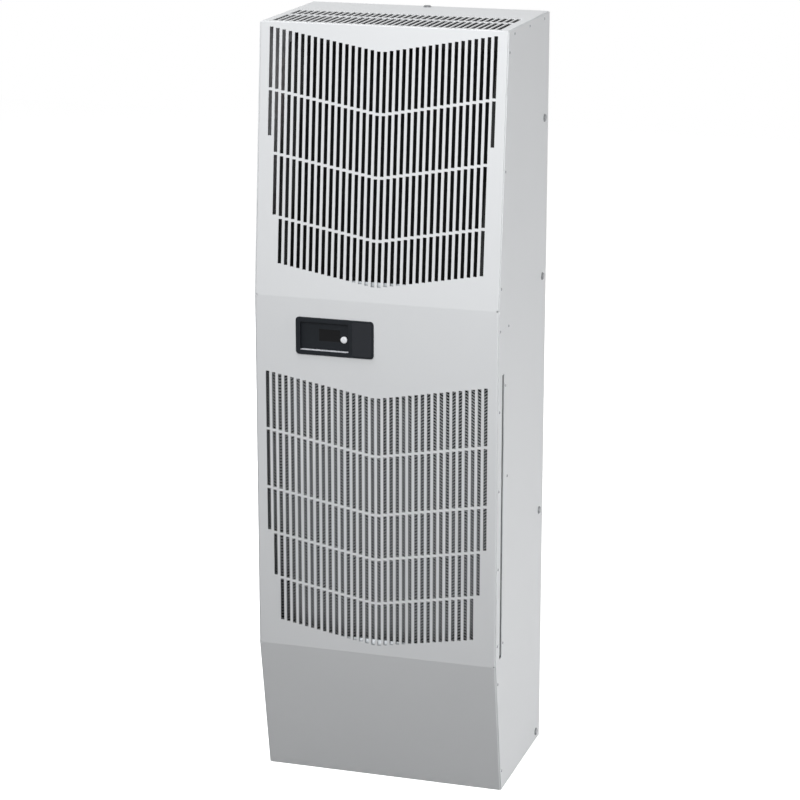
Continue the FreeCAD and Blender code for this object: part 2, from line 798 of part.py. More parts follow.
def cover_screws():
    """Hex flange screws through the cover into the chassis, and one on top."""
    screw = body("screw")
    washer = sketch(screw, "XY_Plane")
    circle(washer, "0", "0", "screw_head_radius")
    pad(screw, washer, "screw_head_height")
    hexagon = sketch(screw, "XY_Plane")
    flat = "screw_hex / 2"
    corner = "screw_hex / 2 * tan(30)"
    point = "screw_hex / 2 / cos(30)"
    polygon(hexagon, ("0", point), (f"-{flat}", corner), (f"-{flat}", f"-{corner}"), ("0", f"-{point}"),
            (flat, f"-{corner}"), (flat, corner))
    pad(screw, hexagon, "screw_head_height + screw_hex_height")
    shank = sketch(screw, "XY_Plane", "-screw_reach")
    circle(shank, "0", "0", "screw_radius")
    pad(screw, shank, "screw_reach")
    spots = on_both_sides([("rear_y - screw_inset", z) for z in SCREW_HEIGHTS])
    spots.append((("0", "rear_y - top_screw_inset", "height"), "z"))
    scatter("cover_screws", screw, spots)


def mounting_inserts():
    """Flanged threaded sleeves in the rear panel for the mounting bolts."""
    insert = turned("insert", "z", ("insert_bore", "-insert_length"), ("insert_radius", "-insert_length"),
                    ("insert_radius", "0"), ("insert_head_radius", "0"),
                    ("insert_head_radius", "insert_head_height"), ("insert_bore", "insert_head_height"))
    spots = [((f"{side}(half_width - insert_inset)", "rear_y", z), "y")
             for z in INSERT_HEIGHTS for side in ("", "-")]
    scatter("mounting_inserts", insert, spots)


# air filter

def filter_frame():
    """A channel frame that holds the mesh by its edges."""
    x = ("-filter_x", "filter_x")
    y = ("filter_y", "filter_y + filter_thick")
    z = ("filter_low", "filter_top")
    outer = box("filter_outer", x, y, z)
    window = box("filter_window", ("filter_border - filter_x", "filter_x - filter_border"), y,
                 ("filter_low + filter_border", "filter_top - filter_border"))
    groove = box("filter_groove", ("filter_wall - filter_x", "filter_x - filter_wall"),
                 ("filter_y + filter_wall", "filter_y + filter_thick - filter_wall"),
                 ("filter_low + filter_wall", "filter_top - filter_wall"))
    node(cut("filter_frame", outer, fuse("filter_hollow", window, groove)), "filter_frame")


def filter_mesh():
    """Corrugated mesh, folded into upright vees between the legs of the frame's channel."""
    left = number("filter_wall + fit_gap - filter_x")
    right = -left
    near = number("filter_y + filter_wall + fit_gap")
    far = number("filter_y + filter_thick - filter_wall - fit_gap - mesh_sheet")
    folds = 2 * round((right - left) / number("mesh_fold") / 2)
    step = (right - left) / folds
    line = [Vector(left + index * step, far if index % 2 else near, 0) for index in range(folds + 1)]
    back = Vector(0, number("mesh_sheet"), 0)
    outline = line + [spot + back for spot in reversed(line)]
    face = Part.Face(Part.makePolygon(outline + outline[:1]))
    mesh = doc.addObject("Part::Feature", "filter_mesh")
    mesh.Shape = face.extrude(Vector(0, 0, number("filter_height - 2 * filter_wall - 2 * fit_gap")))
    place(mesh, z="filter_low + filter_wall + fit_gap")
    node(mesh, "filter_mesh")


def filter_rail(name, floor, lip, ends, *dam):
    """A channel across the cabinet that guides one edge of the filter, low in front of the mesh."""
    x = ("-chassis_x", "chassis_x")
    front = ("filter_y - filter_clear - filter_rail_wall", "filter_y - filter_clear")
    back_low = "filter_y + filter_thick + filter_clear"
    back = (back_low, f"{back_low} + filter_rail_wall")
    floor_plate = box(name + "_floor", x, (front[0], back[1]), floor)
    legs = [box(name + "_front", x, front, lip), box(name + "_back", x, back, ends)]
    tabs = [box(name + side, span, (back_low, "tab_y + side_return / 2"), ends)
            for side, span in (("_left", ("-chassis_x", "filter_rail_wall - chassis_x")),
                               ("_right", ("chassis_x - filter_rail_wall", "chassis_x")))]
    node(fuse(name, floor_plate, *legs, *tabs, *dam), name)


def filter_rails():
    """The lower rail also has a dam right behind the front panel, against air that would pass below."""
    low = "filter_low - filter_clear - filter_rail_wall"
    floor = (low, "filter_low - filter_clear")
    x = ("-chassis_x", "chassis_x")
    dam_floor = box("filter_dam_floor", x, ("dam_y", "filter_y"), floor)
    dam_lip = box("filter_dam_lip", x, ("dam_y", "dam_y + filter_rail_wall"),
                  (low, "filter_low + filter_dam_height"))
    filter_rail("filter_lower_rail", floor, (low, "filter_low + filter_rail_lip"),
                (low, "filter_low + filter_rail_depth + side_return / 2"), dam_floor, dam_lip)
    high = "filter_top + filter_clear + filter_rail_wall"
    filter_rail("filter_upper_rail", ("filter_top + filter_clear", high),
                ("filter_top - filter_rail_lip", high),
                ("filter_top - filter_rail_depth - side_return / 2", high))


# inner walls

def upright(name, y, low, high, *holes):
    """A wall across the cabinet with returns along both sides, pierced by (x, z, radius) holes."""
    wall = body(name)
    plan = sketch(wall, "XY_Plane", low)
    polygon(plan, ("-chassis_x", f"{y} + sheet"), ("-chassis_x", f"{y} - side_return"),
            ("sheet - chassis_x", f"{y} - side_return"), ("sheet - chassis_x", y),
            ("chassis_x - sheet", y), ("chassis_x - sheet", f"{y} - side_return"),
            ("chassis_x", f"{y} - side_return"), ("chassis_x", f"{y} + sheet"))
    pad(wall, plan, f"({high}) - ({low})")
    drawing = sketch(wall, "XZ_Plane", f"-({y})")
    for x, z, radius in holes:
        circle(drawing, x, z, radius)
    pocket(wall, drawing, "4 * sheet", symmetric=True)
    node(wall, name)


def inner_walls():
    upright("partition", "partition_y", "base_raise + fit_gap", "height - sheet - 2 * fit_gap",
            ("-suction_x", "suction_z", "suction_radius + line_clear"),
            ("-drier_x", "capillary_z", "capillary_radius + line_clear"))
    upright("fan_bulkhead", "bulkhead_y", "bulkhead_low", "shelf_top - sheet - fit_gap",
            ("0", "condenser_fan_z", "condenser_eye_radius"))
    shelf = body("coil_shelf")
    profile = sketch(shelf, "YZ_Plane")
    polygon(profile, ("shelf_y", "shelf_top - sheet"), ("shelf_y + shelf_depth", "shelf_top - sheet"),
            ("shelf_y + shelf_depth", "shelf_top"), ("shelf_y + sheet", "shelf_top"),
            ("shelf_y + sheet", "shelf_top + shelf_lip"), ("shelf_y", "shelf_top + shelf_lip"))
    pad(shelf, profile, "2 * chassis_x", symmetric=True)
    node(shelf, "coil_shelf")


# coils

def tube_holes(owner, coil):
    """Two rows of holes for a coil's tubes."""
    rows = sketch(owner, "YZ_Plane")
    lowest = f"({coil}_height - ({coil}_passes - 1) * tube_pitch) / 2"
    for y in ("row_front", "row_rear"):
        circle(rows, y, lowest, "tube_radius + tube_clear")
    hole = pocket(owner, rows, "cabinet_width", symmetric=True)
    repeat(owner, hole, ("V_Axis", "tube_pitch", f"{coil}_passes"))


def settle(thing, coil):
    """Put a piece of a coil, drawn at the origin, in its place in the cabinet."""
    if coil == "condenser":
        thing.Placement = FreeCAD.Placement(Vector(), Rotation(Vector(-1, 0, 0), number("condenser_lean")))
        bind(thing, Placement__Rotation__Angle="condenser_lean")
    place(thing, y=f"{coil}_y", z=f"{coil}_low")


def coil_fins(coil):
    """The stack of fins as one block with its tube holes."""
    fins = body(coil + "_fins")
    side = sketch(fins, "YZ_Plane")
    rectangle(side, ("0", "coil_depth"), ("0", f"{coil}_height"))
    pad(fins, side, "2 * coil_half_width", symmetric=True)
    tube_holes(fins, coil)
    settle(fins, coil)
    node(fins, coil + "_fins")


def coil_plate(coil, hand, sign, foot):
    """An end plate with a flange that closes the gap towards the cabinet side."""
    plate = body(f"{coil}_{hand}_plate")
    plan = sketch(plate, "XY_Plane", f"-({foot})")
    inner = f"{sign}(coil_half_width + fit_gap)"
    outer = f"{sign}(coil_half_width + fit_gap + end_plate)"
    edge = f"{sign}(coil_half_width + fit_gap + end_plate + {coil}_filler)"
    polygon(plan, (inner, "0"), (edge, "0"), (edge, "end_plate"), (outer, "end_plate"),
            (outer, "coil_depth"), (inner, "coil_depth"))
    pad(plate, plan, f"{coil}_height + {foot}")
    tube_holes(plate, coil)
    settle(plate, coil)
    node(plate, f"{coil}_{hand}_plate")


def coil_tubes(coil):
    """One tube that runs to and fro down the rear row and up the front row."""
    passes = round(number(f"{coil}_passes"))
    pitch = number("tube_pitch")
    turn = number("coil_half_width + 2 * fit_gap + end_plate")
    stub = number("line_x")
    low = (number(f"{coil}_height") - (passes - 1) * pitch) / 2
    levels = [low + index * pitch for index in range(passes)]
    runs = [(number("row_rear"), z) for z in reversed(levels)] + [(number("row_front"), z) for z in levels]
    edges = []
    side = -1
    start = Vector(-stub, *runs[0])
    for (y, z), (next_y, next_z) in zip(runs, runs[1:]):
        side = -side
        finish = Vector(side * turn, y, z)
        onward = Vector(side * turn, next_y, next_z)
        bulge = (finish + onward) / 2 + Vector(side * (onward - finish).Length / 2, 0, 0)
        edges.append(Part.LineSegment(start, finish).toShape())
        edges.append(Part.Arc(finish, bulge, onward).toShape())
        start = onward
    edges.append(Part.LineSegment(start, Vector(-stub, *runs[-1])).toShape())
    profile = Part.Wire(Part.makeCircle(number("tube_radius"), Vector(-stub, *runs[0]), Vector(1, 0, 0)))
    tubes = doc.addObject("Part::Feature", coil + "_tubes")
    tubes.Shape = Part.Wire(edges).makePipeShell([profile], True, True)
    settle(tubes, coil)
    node(tubes, coil + "_tubes")


def coils():
    feet = {"condenser": "0", "evaporator": "(evaporator_low - tray_low - tray_wall - fit_gap)"}
    for coil, foot in feet.items():
        coil_fins(coil)
        coil_plate(coil, "left", "-", foot)
        coil_plate(coil, "right", "", foot)
        coil_tubes(coil)
    bracket = box("bracket_block", ("-coil_half_width", "coil_half_width"),
                  ("condenser_top_y + fit_gap", "partition_y"),
                  ("condenser_top - bracket_height", "condenser_top"))
    hollow = box("bracket_hollow", ("-coil_half_width", "coil_half_width"),
                 ("condenser_top_y + fit_gap + sheet", "partition_y - sheet"),
                 ("condenser_top - bracket_height", "condenser_top - sheet"))
    node(cut("coil_top_bracket", bracket, hollow), "coil_top_bracket")


def drainage():
    """A tray under the cold coil, and the tube that empties it through the base."""
    tray = body("drip_tray")
    floor = sketch(tray, "XY_Plane", "tray_low")
    rectangle(floor, ("-tray_half_width", "tray_half_width"),
              ("partition_back + fit_gap", "rear_inside - fit_gap"))
    pad(tray, floor, "tray_height")
    top = number("tray_top") - TOLERANCE
    shell(tray, "tray_wall", lambda face: face.ZMin > top)
    hole = sketch(tray, "XY_Plane", "tray_low - tray_wall")
    circle(hole, "drain_x", "drain_y", "drain_radius + fit_gap")
    pocket(tray, hole, "4 * tray_wall")
    node(tray, "drip_tray")
    end = "-(tray_low + tray_wall - base_raise + drain_below)"
    shoulder = f"{end} + spigot_length"
    drain = turned("drain_tube", "z", ("drain_bore", end), ("spigot_radius", end),
                   ("spigot_radius", shoulder), ("drain_radius", shoulder), ("drain_radius", "0"),
                   ("drain_flange_radius", "0"), ("drain_flange_radius", "tray_wall"),
                   ("drain_bore", "tray_wall"))
    node(place(drain, "drain_x", "drain_y", "tray_low + tray_wall"), "drain_tube")


# fans

def impeller(fan, axis, back):
    """A backward-inclined wheel: back disc, hub, blades and front ring."""
    wheel = body(fan + "_impeller")
    for radius, thick in ((f"{fan}_fan_radius", "disc_thick"), ("hub_radius", "hub_length")):
        drawing = sketch(wheel, "XY_Plane")
        circle(drawing, "0", "0", radius)
        pad(wheel, drawing, thick)
    ring = sketch(wheel, "XY_Plane", f"disc_thick + {fan}_blade_width")
    circle(ring, "0", "0", f"{fan}_fan_radius")
    circle(ring, "0", "0", f"{fan}_eye_radius + ring_wall + eye_clear")
    blade = sketch(wheel, "XY_Plane", "disc_thick / 2")
    inner = f"({fan}_eye_radius + 2 * eye_clear)"
    outer = f"({fan}_fan_radius - 2 * blade_thick)"
    polygon(blade, (inner, "0"), (f"{outer} * cos(blade_sweep)", f"-{outer} * sin(blade_sweep)"),
            (f"{outer} * cos(blade_sweep) + blade_thick", f"-{outer} * sin(blade_sweep)"),
            (f"{inner} + blade_thick", "0"))
    vane = pad(wheel, blade, f"disc_thick + {fan}_blade_width")
    vanes = wheel.newObject("PartDesign::PolarPattern", fan + "_vanes")
    vanes.Originals = [vane]
    vanes.Axis = (blade, ["N_Axis"])
    bind(vanes, Occurrences="blade_count")
    wheel.Tip = vanes
    pad(wheel, ring, "disc_thick")
    bore = sketch(wheel, "XY_Plane", "-disc_thick")
    circle(bore, "0", "0", "shaft_radius + shaft_clear")
    pocket(wheel, bore, "2 * hub_length")
    wheel.Placement = FreeCAD.Placement(Vector(), TURNS[axis])
    node(place(wheel, y=back, z=f"{fan}_fan_z"), fan + "_impeller")


def fan_motor(fan, axis, front, length):
    """A round motor with a blind bearing bore at the front and a flange on the partition."""
    rim = f"{fan}_motor_radius + motor_flange_rim"
    motor = turned(fan + "_motor", axis, ("shaft_radius + shaft_clear", "0"), (f"{fan}_motor_radius", "0"),
                   (f"{fan}_motor_radius", f"{length} - motor_flange"), (rim, f"{length} - motor_flange"),
                   (rim, length), ("0", length), ("0", "bearing_depth"),
                   ("shaft_radius + shaft_clear", "bearing_depth"))
    node(place(motor, y=front, z=f"{fan}_fan_z"), fan + "_motor")
    reach = f"hub_length + {fan}_motor_gap + bearing_depth - fit_gap"
    sign = "-" if axis == "y" else "+"
    tip = f"{front} {sign} ({fan}_motor_gap + hub_length)"
    node(rod(fan + "_shaft", axis, "shaft_radius", ("0", tip, f"{fan}_fan_z"), reach), fan + "_shaft")


def inlet_ring(fan, axis, seat):
    """A flanged collar that leads the air into the wheel's eye."""
    collar = "ring_wall + fan_inlet_gap + collar_entry"
    eye = f"{fan}_eye_radius"
    ring = turned(fan + "_inlet_ring", axis, (eye, "0"), (f"{eye} + ring_flange", "0"),
                  (f"{eye} + ring_flange", "ring_wall"), (f"{eye} + ring_wall", "ring_wall"),
                  (f"{eye} + ring_wall", collar), (eye, collar))
    node(place(ring, y=seat, z=f"{fan}_fan_z"), fan + "_inlet_ring")


def inlet_guard():
    """Wire rings on two crossed bars over the return-air opening."""
    wires = []
    reach = "(evaporator_eye_radius + guard_rim)"
    for index in range(round(number("guard_rings"))):
        ring = doc.addObject("Part::Torus", "guard_ring")
        bind(ring, Radius1=f"{reach} - {index} * guard_pitch", Radius2="guard_wire")
        ring.Placement = FreeCAD.Placement(Vector(), TURNS["y"])
        wires.append(place(ring, y="rear_y + guard_wire + fit_gap / 3", z="evaporator_fan_z"))
    y = "rear_y + 2.5 * guard_wire + fit_gap / 3"
    left = (f"-{reach}", y, "evaporator_fan_z")
    wires.append(rod("guard_bar", "x", "guard_wire", left, f"2 * {reach}"))
    below = ("0", y, f"evaporator_fan_z - {reach}")
    wires.append(rod("guard_post", "z", "guard_wire", below, f"2 * {reach}"))
    node(fuse("inlet_guard", *wires), "inlet_guard")


def fans():
    impeller("condenser", "-y", "condenser_fan_back")
    fan_motor("condenser", "y", "condenser_motor_front", "(partition_y - condenser_motor_front)")
    inlet_ring("condenser", "y", "bulkhead_back")
    impeller("evaporator", "y", "evaporator_fan_back")
    fan_motor("evaporator", "-y", "evaporator_motor_front", "(evaporator_motor_front - partition_back)")
    inlet_ring("evaporator", "-y", "rear_inside")
    inlet_guard()


# compressor and refrigerant lines

def foot_spots():
    """The (x, y) rules of the compressor's four feet."""
    across = "(foot_half_length - foot_inset)"
    along = "(foot_half_width - foot_inset)"
    return [(f"compressor_x {sx} {across}", f"compressor_y {sy} {along}") for sx in "+-" for sy in "+-"]


def compressor():
    """A welded can on a foot plate, carried by four rubber grommets."""
    at = ("compressor_x", "compressor_y")
    radius = "compressor_radius"
    inside = "(compressor_radius - compressor_wall)"
    chamfer = "3 * compressor_wall"
    can = turned("compressor_shell", "z", ("0", "0"), (f"{radius} - {chamfer}", "0"), (radius, chamfer),
                 (radius, "compressor_height"), (inside, "compressor_height"), (inside, chamfer),
                 (f"{inside} - 2 * compressor_wall", "compressor_wall"), ("0", "compressor_wall"))
    node(place(can, *at, "compressor_low"), "compressor_shell")
    cap = turned("compressor_cap", "z", (inside, "0"), (radius, "0"),
                 (f"{radius} * 0.96", "compressor_cap * 0.4"), (f"{radius} * 0.8", "compressor_cap * 0.76"),
                 (f"{radius} * 0.45", "compressor_cap * 0.96"), ("0", "compressor_cap"),
                 ("0", "compressor_cap - compressor_wall"),
                 (f"{inside} * 0.45", "compressor_cap * 0.96 - compressor_wall"),
                 (f"{inside} * 0.8", "compressor_cap * 0.76 - compressor_wall"),
                 (f"{inside} * 0.96", "compressor_cap * 0.3"))
    node(place(cap, *at, "compressor_top"), "compressor_cap")
    core = rod("compressor_core", "z", f"{inside} - fit_gap", (*at, "compressor_low + 5 * compressor_wall"),
               "compressor_height - 10 * compressor_wall")
    node(core, "compressor_core")

    plate = box("foot_plate", ("compressor_x - foot_half_length", "compressor_x + foot_half_length"),
                ("compressor_y - foot_half_width", "compressor_y + foot_half_width"),
                ("compressor_low - foot_thick", "compressor_low"))
    under = "compressor_low - foot_thick"
    holes = [rod("foot_hole", "z", "bolt_radius + fit_gap", (x, y, under), "foot_thick")
             for x, y in foot_spots()]
    node(cut("compressor_foot", plate, *holes), "compressor_foot")
    grommet = turned("grommet", "z", ("bolt_radius + fit_gap", "0"), ("grommet_radius", "0"),
                     ("grommet_radius", "grommet_height * 0.35"),
                     ("grommet_radius * 0.8", "grommet_height * 0.5"),
                     ("grommet_radius", "grommet_height * 0.65"), ("grommet_radius", "grommet_height"),
                     ("bolt_radius + fit_gap", "grommet_height"))
    scatter("compressor_grommets", grommet, [((x, y, "base_raise"), "z") for x, y in foot_spots()])
    bolt = turned("foot_bolt", "z", ("0", "-grommet_height - foot_thick - 4 * sheet"),
                  ("bolt_radius", "-grommet_height - foot_thick - 4 * sheet"), ("bolt_radius", "0"),
                  ("bolt_head_radius", "0"), ("bolt_head_radius", "bolt_head_height"),
                  ("0", "bolt_head_height"))
    scatter("compressor_bolts", bolt, [((x, y, "compressor_low"), "z") for x, y in foot_spots()])

    cover = box("terminal_block_cover",
                ("compressor_x - terminal_width / 2", "compressor_x + terminal_width / 2"),
                ("compressor_y - compressor_radius - terminal_depth", "compressor_y"),
                ("compressor_top - 2 * terminal_height", "compressor_top - terminal_height"))
    clearance = rod("terminal_clearance", "z", "compressor_radius + fit_gap", (*at, "compressor_low"),
                    "compressor_height")
    node(cut("compressor_terminal_cover", cover, clearance), "compressor_terminal_cover")


def accumulator():
    """A suction accumulator beside the compressor, joined to it by an elbow and a strap."""
    at = ("accumulator_x", "compressor_y")
    low = "accumulator_low"
    can = rod("accumulator_can", "z", "accumulator_radius", (*at, low), "accumulator_height")
    strap = box("accumulator_strap", ("accumulator_x", "compressor_x"),
                ("compressor_y - accumulator_radius / 3", "compressor_y + accumulator_radius / 3"),
                (f"{low} + accumulator_height * 0.4", f"{low} + accumulator_height * 0.6"))
    clearance = rod("accumulator_clearance", "z", "compressor_radius + fit_gap",
                    ("compressor_x", "compressor_y", "compressor_low"), "compressor_height")
    run = f"{low} - 6 * discharge_radius"
    elbow = tube("accumulator_elbow", "discharge_radius", "3 * discharge_radius", (*at, f"{low} + sheet"),
                 (*at, run), ("compressor_x - compressor_radius - fit_gap", "compressor_y", run))
    node(fuse("suction_accumulator", can, cut("accumulator_bracket", strap, clearance), elbow),
         "suction_accumulator")


def refrigerant_lines():
    """Discharge, liquid, capillary and suction lines along the left side of the cabinet."""
    cap = "compressor_top + compressor_cap + fit_gap"
    bend = "3 * discharge_radius"
    gas_y = "(condenser_y + row_rear * cos(condenser_lean) + condenser_end * sin(condenser_lean))"
    gas_z = "(condenser_low - row_rear * sin(condenser_lean) + condenser_end * cos(condenser_lean))"
    liquid_y = "(condenser_y + row_front * cos(condenser_lean) + condenser_end * sin(condenser_lean))"
    liquid_z = "(condenser_low - row_front * sin(condenser_lean) + condenser_end * cos(condenser_lean))"
    stub = "-(line_x + fit_gap)"
    wall = "-(line_x + 2.5 * discharge_radius)"
    over = f"{cap} + riser_rise"
    node(tube("discharge_line", "discharge_radius", "1.6 * discharge_radius",
              ("compressor_x", "compressor_y", cap), ("compressor_x", "compressor_y", over),
              ("-riser_x", "riser_y", over), ("-riser_x", "riser_y", "riser_z"),
              (wall, gas_y, "riser_z"), (wall, gas_y, gas_z), (stub, gas_y, gas_z)), "discharge_line")
    drier_top = "drier_low + drier_height"
    node(tube("liquid_line", "liquid_radius", "1.8 * liquid_radius", (stub, liquid_y, liquid_z),
              (wall, liquid_y, liquid_z), (wall, liquid_y, f"{drier_top} + 6 * liquid_radius"),
              ("-drier_x", "drier_y", f"{drier_top} + 6 * liquid_radius"),
              ("-drier_x", "drier_y", f"{drier_top} + fit_gap")), "liquid_line")
    drier = turned("filter_drier", "z", ("0", "0"), ("drier_radius * 0.4", "0"),
                   ("drier_radius", "drier_radius"), ("drier_radius", "drier_height - drier_radius"),
                   ("drier_radius * 0.4", "drier_height"), ("0", "drier_height"))
    node(place(drier, "-drier_x", "drier_y", "drier_low"), "filter_drier")
    cold_z = "(evaporator_low + evaporator_end)"
    inlet_y = "(evaporator_y + row_front)"
    node(tube("capillary_tube", "capillary_radius", "2.5 * capillary_radius",
              ("-drier_x", "drier_y", "drier_low - fit_gap"), ("-drier_x", "drier_y", "capillary_z"),
              ("-drier_x", inlet_y, "capillary_z"), (wall, inlet_y, "capillary_z"), (wall, inlet_y, cold_z),
              (stub, inlet_y, cold_z)), "capillary_tube")
    outlet_y = "(evaporator_y + row_rear)"
    accumulator_top = "(accumulator_low + accumulator_height + fit_gap)"
    node(tube("suction_line", "suction_radius", "1.8 * suction_radius", (stub, outlet_y, cold_z),
              ("-suction_x", outlet_y, cold_z), ("-suction_x", outlet_y, "suction_z"),
              ("-suction_x", "compressor_y", "suction_z"),
              ("-suction_x", "compressor_y", f"{accumulator_top} + suction_drop"),
              ("accumulator_x", "compressor_y", f"{accumulator_top} + suction_drop"),
              ("accumulator_x", "compressor_y", accumulator_top)), "suction_line")


# electrics and controller

def control_box():
    """A box on the partition with the switchgear for the compressor and fans."""
    x = ("box_x", "box_x + box_width")
    front = "(partition_y - box_depth)"
    z = ("box_low", "box_low + box_height")
    case = body("control_box")
    face = sketch(case, "XZ_Plane", "-partition_y")
    rectangle(face, x, z)
    pad(case, face, "box_depth")
    opening = number(front) + TOLERANCE
    shell(case, "box_wall", lambda side: side.YMax < opening)
    node(case, "control_box")
    node(box("control_box_cover", x, (f"{front} - box_wall", front), z), "control_box_cover")
    back = "(partition_y - box_wall)"
    centre = "(box_x + box_width / 2)"
    middle = "(box_low + box_height / 2)"
    base = box("contactor_base", (f"{centre} - box_width / 4", f"{centre} + box_width / 4"),
               (f"{back} - box_depth / 2", back),
               (f"{middle} + box_height / 12", f"{middle} + box_height / 3"))
    step = box("contactor_step", (f"{centre} - box_width / 6", f"{centre} + box_width / 6"),
               (f"{back} - box_depth * 0.65", back),
               (f"{middle} + box_height / 8", f"{middle} + box_height / 4"))
    node(fuse("contactor", base, step), "contactor")
    can = rod("run_capacitor", "-y", "box_width / 7",
              (f"{centre} - box_width / 4", back, f"{middle} - box_height / 6"), "box_depth * 0.7")
    node(can, "run_capacitor")
    block = box("terminal_base", (centre, f"{centre} + box_width * 0.4"), (f"{back} - box_depth / 4", back),
                (f"{middle} - box_height / 4", f"{middle} - box_height / 10"))
    slots = [box("terminal_slot", (f"{centre} + box_width * {0.03 + 0.09 * index}",
                                   f"{centre} + box_width * {0.1 + 0.09 * index}"),
                 (f"{back} - box_depth / 4", f"{back} - box_depth / 6"),
                 (f"{middle} - box_height / 4", f"{middle} - box_height / 7")) for index in range(4)]
    node(cut("terminal_block", block, *slots), "terminal_block")


def controller():
    """The bezel with its recessed window, the board behind it, the display pane and the button."""
    bezel = body("controller_bezel")
    plate = sketch(bezel, "XZ_Plane", "-front_y")
    rectangle(plate, ("bezel_x", "bezel_x + bezel_width"), ("bezel_z", "bezel_z + bezel_height"))
    slab = pad(bezel, plate, "bezel_proud")
    doc.recompute()
    corners = [f"Edge{i}" for i, edge in enumerate(slab.Shape.Edges, start=1)
               if edge.BoundBox.YLength > TOLERANCE]
    rounding = bezel.newObject("PartDesign::Fillet", "bezel_corners")
    rounding.Base = (slab, corners)
    bind(rounding, Radius="bezel_radius")
    back = "(window_face + window_wall)"
    tub = sketch(bezel, "XZ_Plane", f"-{back}")
    rectangle(tub, ("window_x - window_wall", "window_x + window_width + window_wall"),
              ("window_z - window_wall", "window_z + window_height + window_wall"))
    pad(bezel, tub, f"{back} - front_y")
    recess = sketch(bezel, "XZ_Plane", "bezel_proud - front_y")
    rectangle(recess, ("window_x", "window_x + window_width"), ("window_z", "window_z + window_height"))
    pocket(bezel, recess, "window_depth", forward=False)
    pane = sketch(bezel, "XZ_Plane", "-window_face")
    x = ("window_x + display_left", "window_x + display_left + display_width")
    z = ("window_z + display_low", "window_z + display_low + display_height")
    rectangle(pane, x, z)
    pocket(bezel, pane, "display_thick", forward=False)
    hole = sketch(bezel, "XZ_Plane", "-window_face")
    circle(hole, "button_x", "button_z", "button_radius + button_clear")
    pocket(bezel, hole, "2 * window_wall", forward=False)
    node(bezel, "controller_bezel")

    block = box("module_block", ("window_x", "window_x + window_width"), (back, f"{back} + module_depth"),
                ("window_z", "window_z + window_height"))
    cavity = rod("module_cavity", "y", "button_radius + button_flange + button_clear",
                 ("button_x", back, "button_z"), "button_flange + button_travel + 2 * button_clear")
    node(cut("controller_module", block, cavity), "controller_module")
    slack = "fit_gap / 2"
    node(box("display_window", (f"{x[0]} + {slack}", f"{x[1]} - {slack}"),
             ("window_face", "window_face + display_thick"), (f"{z[0]} + {slack}", f"{z[1]} - {slack}")),
         "display_window")
    stem = "(button_proud + window_wall + button_clear)"
    flange = "button_radius + button_flange"
    button = turned("mode_button", "y", ("0", "0"), ("button_radius - button_clear", "0"),
                    ("button_radius", "button_clear"), ("button_radius", stem), (flange, stem),
                    (flange, f"{stem} + button_flange"), ("0", f"{stem} + button_flange"))
    node(place(button, "button_x", "window_face - button_proud", "button_z"), "mode_button")


def wiring_grommet():
    """A rubber ring that lines the wiring hole in the rear panel."""
    waist = "wiring_radius - fit_gap"
    lip = "wiring_radius + wiring_lip"
    ring = turned("wiring_grommet", "y", ("wiring_bore", "-wiring_lip"), (lip, "-wiring_lip"), (lip, "0"),
                  (waist, "0"), (waist, "sheet"), (lip, "sheet"), (lip, "sheet + wiring_lip"),
                  ("wiring_bore", "sheet + wiring_lip"))
    node(place(ring, "wiring_x", "rear_inside", "wiring_z"), "wiring_grommet")


def save():
    """Check every object, then write each sub-part to its own file."""
    doc.recompute()
    faulty = [item.Name for item in doc.Objects if "Invalid" in item.State or "Error" in item.State]
    if faulty:
        raise RuntimeError("failed objects: " + ", ".join(faulty))
    for part in nodes:
        if part.Shape.isNull() or not part.Shape.isValid():
            raise RuntimeError("bad shape: " + part.Label)
    os.makedirs("parts", exist_ok=True)
    for part in nodes:
        part.Shape.exportStep(f"parts/{part.Label}.step")


front_panel()
side_panel("left_side_panel", "-half_width", slotted=False)
side_panel("right_side_panel", "inner_x", slotted=True)
rear_panel()
base_pan()
mounting_gasket()
rivets()
cover_screws()
mounting_inserts()
filter_frame()
filter_mesh()
filter_rails()
inner_walls()
coils()
drainage()
fans()
compressor()
accumulator()
refrigerant_lines()
control_box()
controller()
wiring_grommet()
save()
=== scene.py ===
"""Enclosure air conditioner: coils, filter, controller, finishes and stage round the CAD frame.

Lengths are metres in the frame of the CAD model: +Z up, the front towards -Y, the origin on the floor
under the middle of the cabinet.
"""
import json
import math

import bmesh
import bpy
from bpy.props import FloatProperty, FloatVectorProperty, IntProperty, PointerProperty
from mathutils import Matrix, Vector


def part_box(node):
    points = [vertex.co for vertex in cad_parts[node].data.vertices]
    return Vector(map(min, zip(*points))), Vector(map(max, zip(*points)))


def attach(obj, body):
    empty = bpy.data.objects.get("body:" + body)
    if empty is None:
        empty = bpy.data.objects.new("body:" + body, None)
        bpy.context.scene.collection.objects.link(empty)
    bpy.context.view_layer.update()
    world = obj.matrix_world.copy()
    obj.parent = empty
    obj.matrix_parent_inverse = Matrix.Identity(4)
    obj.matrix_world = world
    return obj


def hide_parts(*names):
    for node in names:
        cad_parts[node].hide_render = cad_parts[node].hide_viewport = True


bl_info = {
    "name": "Enclosure Air Conditioner",
    "version": (1, 0, 0),
    "blender": (4, 5, 0),
    "location": "3D View > Sidebar > Air Conditioner",
    "description": "Builds the coils, filter, controller and finishes of an enclosure air conditioner",
    "category": "Object",
}

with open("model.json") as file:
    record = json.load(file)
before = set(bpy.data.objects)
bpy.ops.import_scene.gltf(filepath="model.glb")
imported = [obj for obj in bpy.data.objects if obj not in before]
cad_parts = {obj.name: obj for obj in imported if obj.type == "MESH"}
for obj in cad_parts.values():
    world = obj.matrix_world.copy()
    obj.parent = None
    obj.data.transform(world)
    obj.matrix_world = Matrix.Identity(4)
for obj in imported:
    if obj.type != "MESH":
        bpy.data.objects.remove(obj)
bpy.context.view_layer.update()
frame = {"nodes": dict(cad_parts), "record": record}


# settings

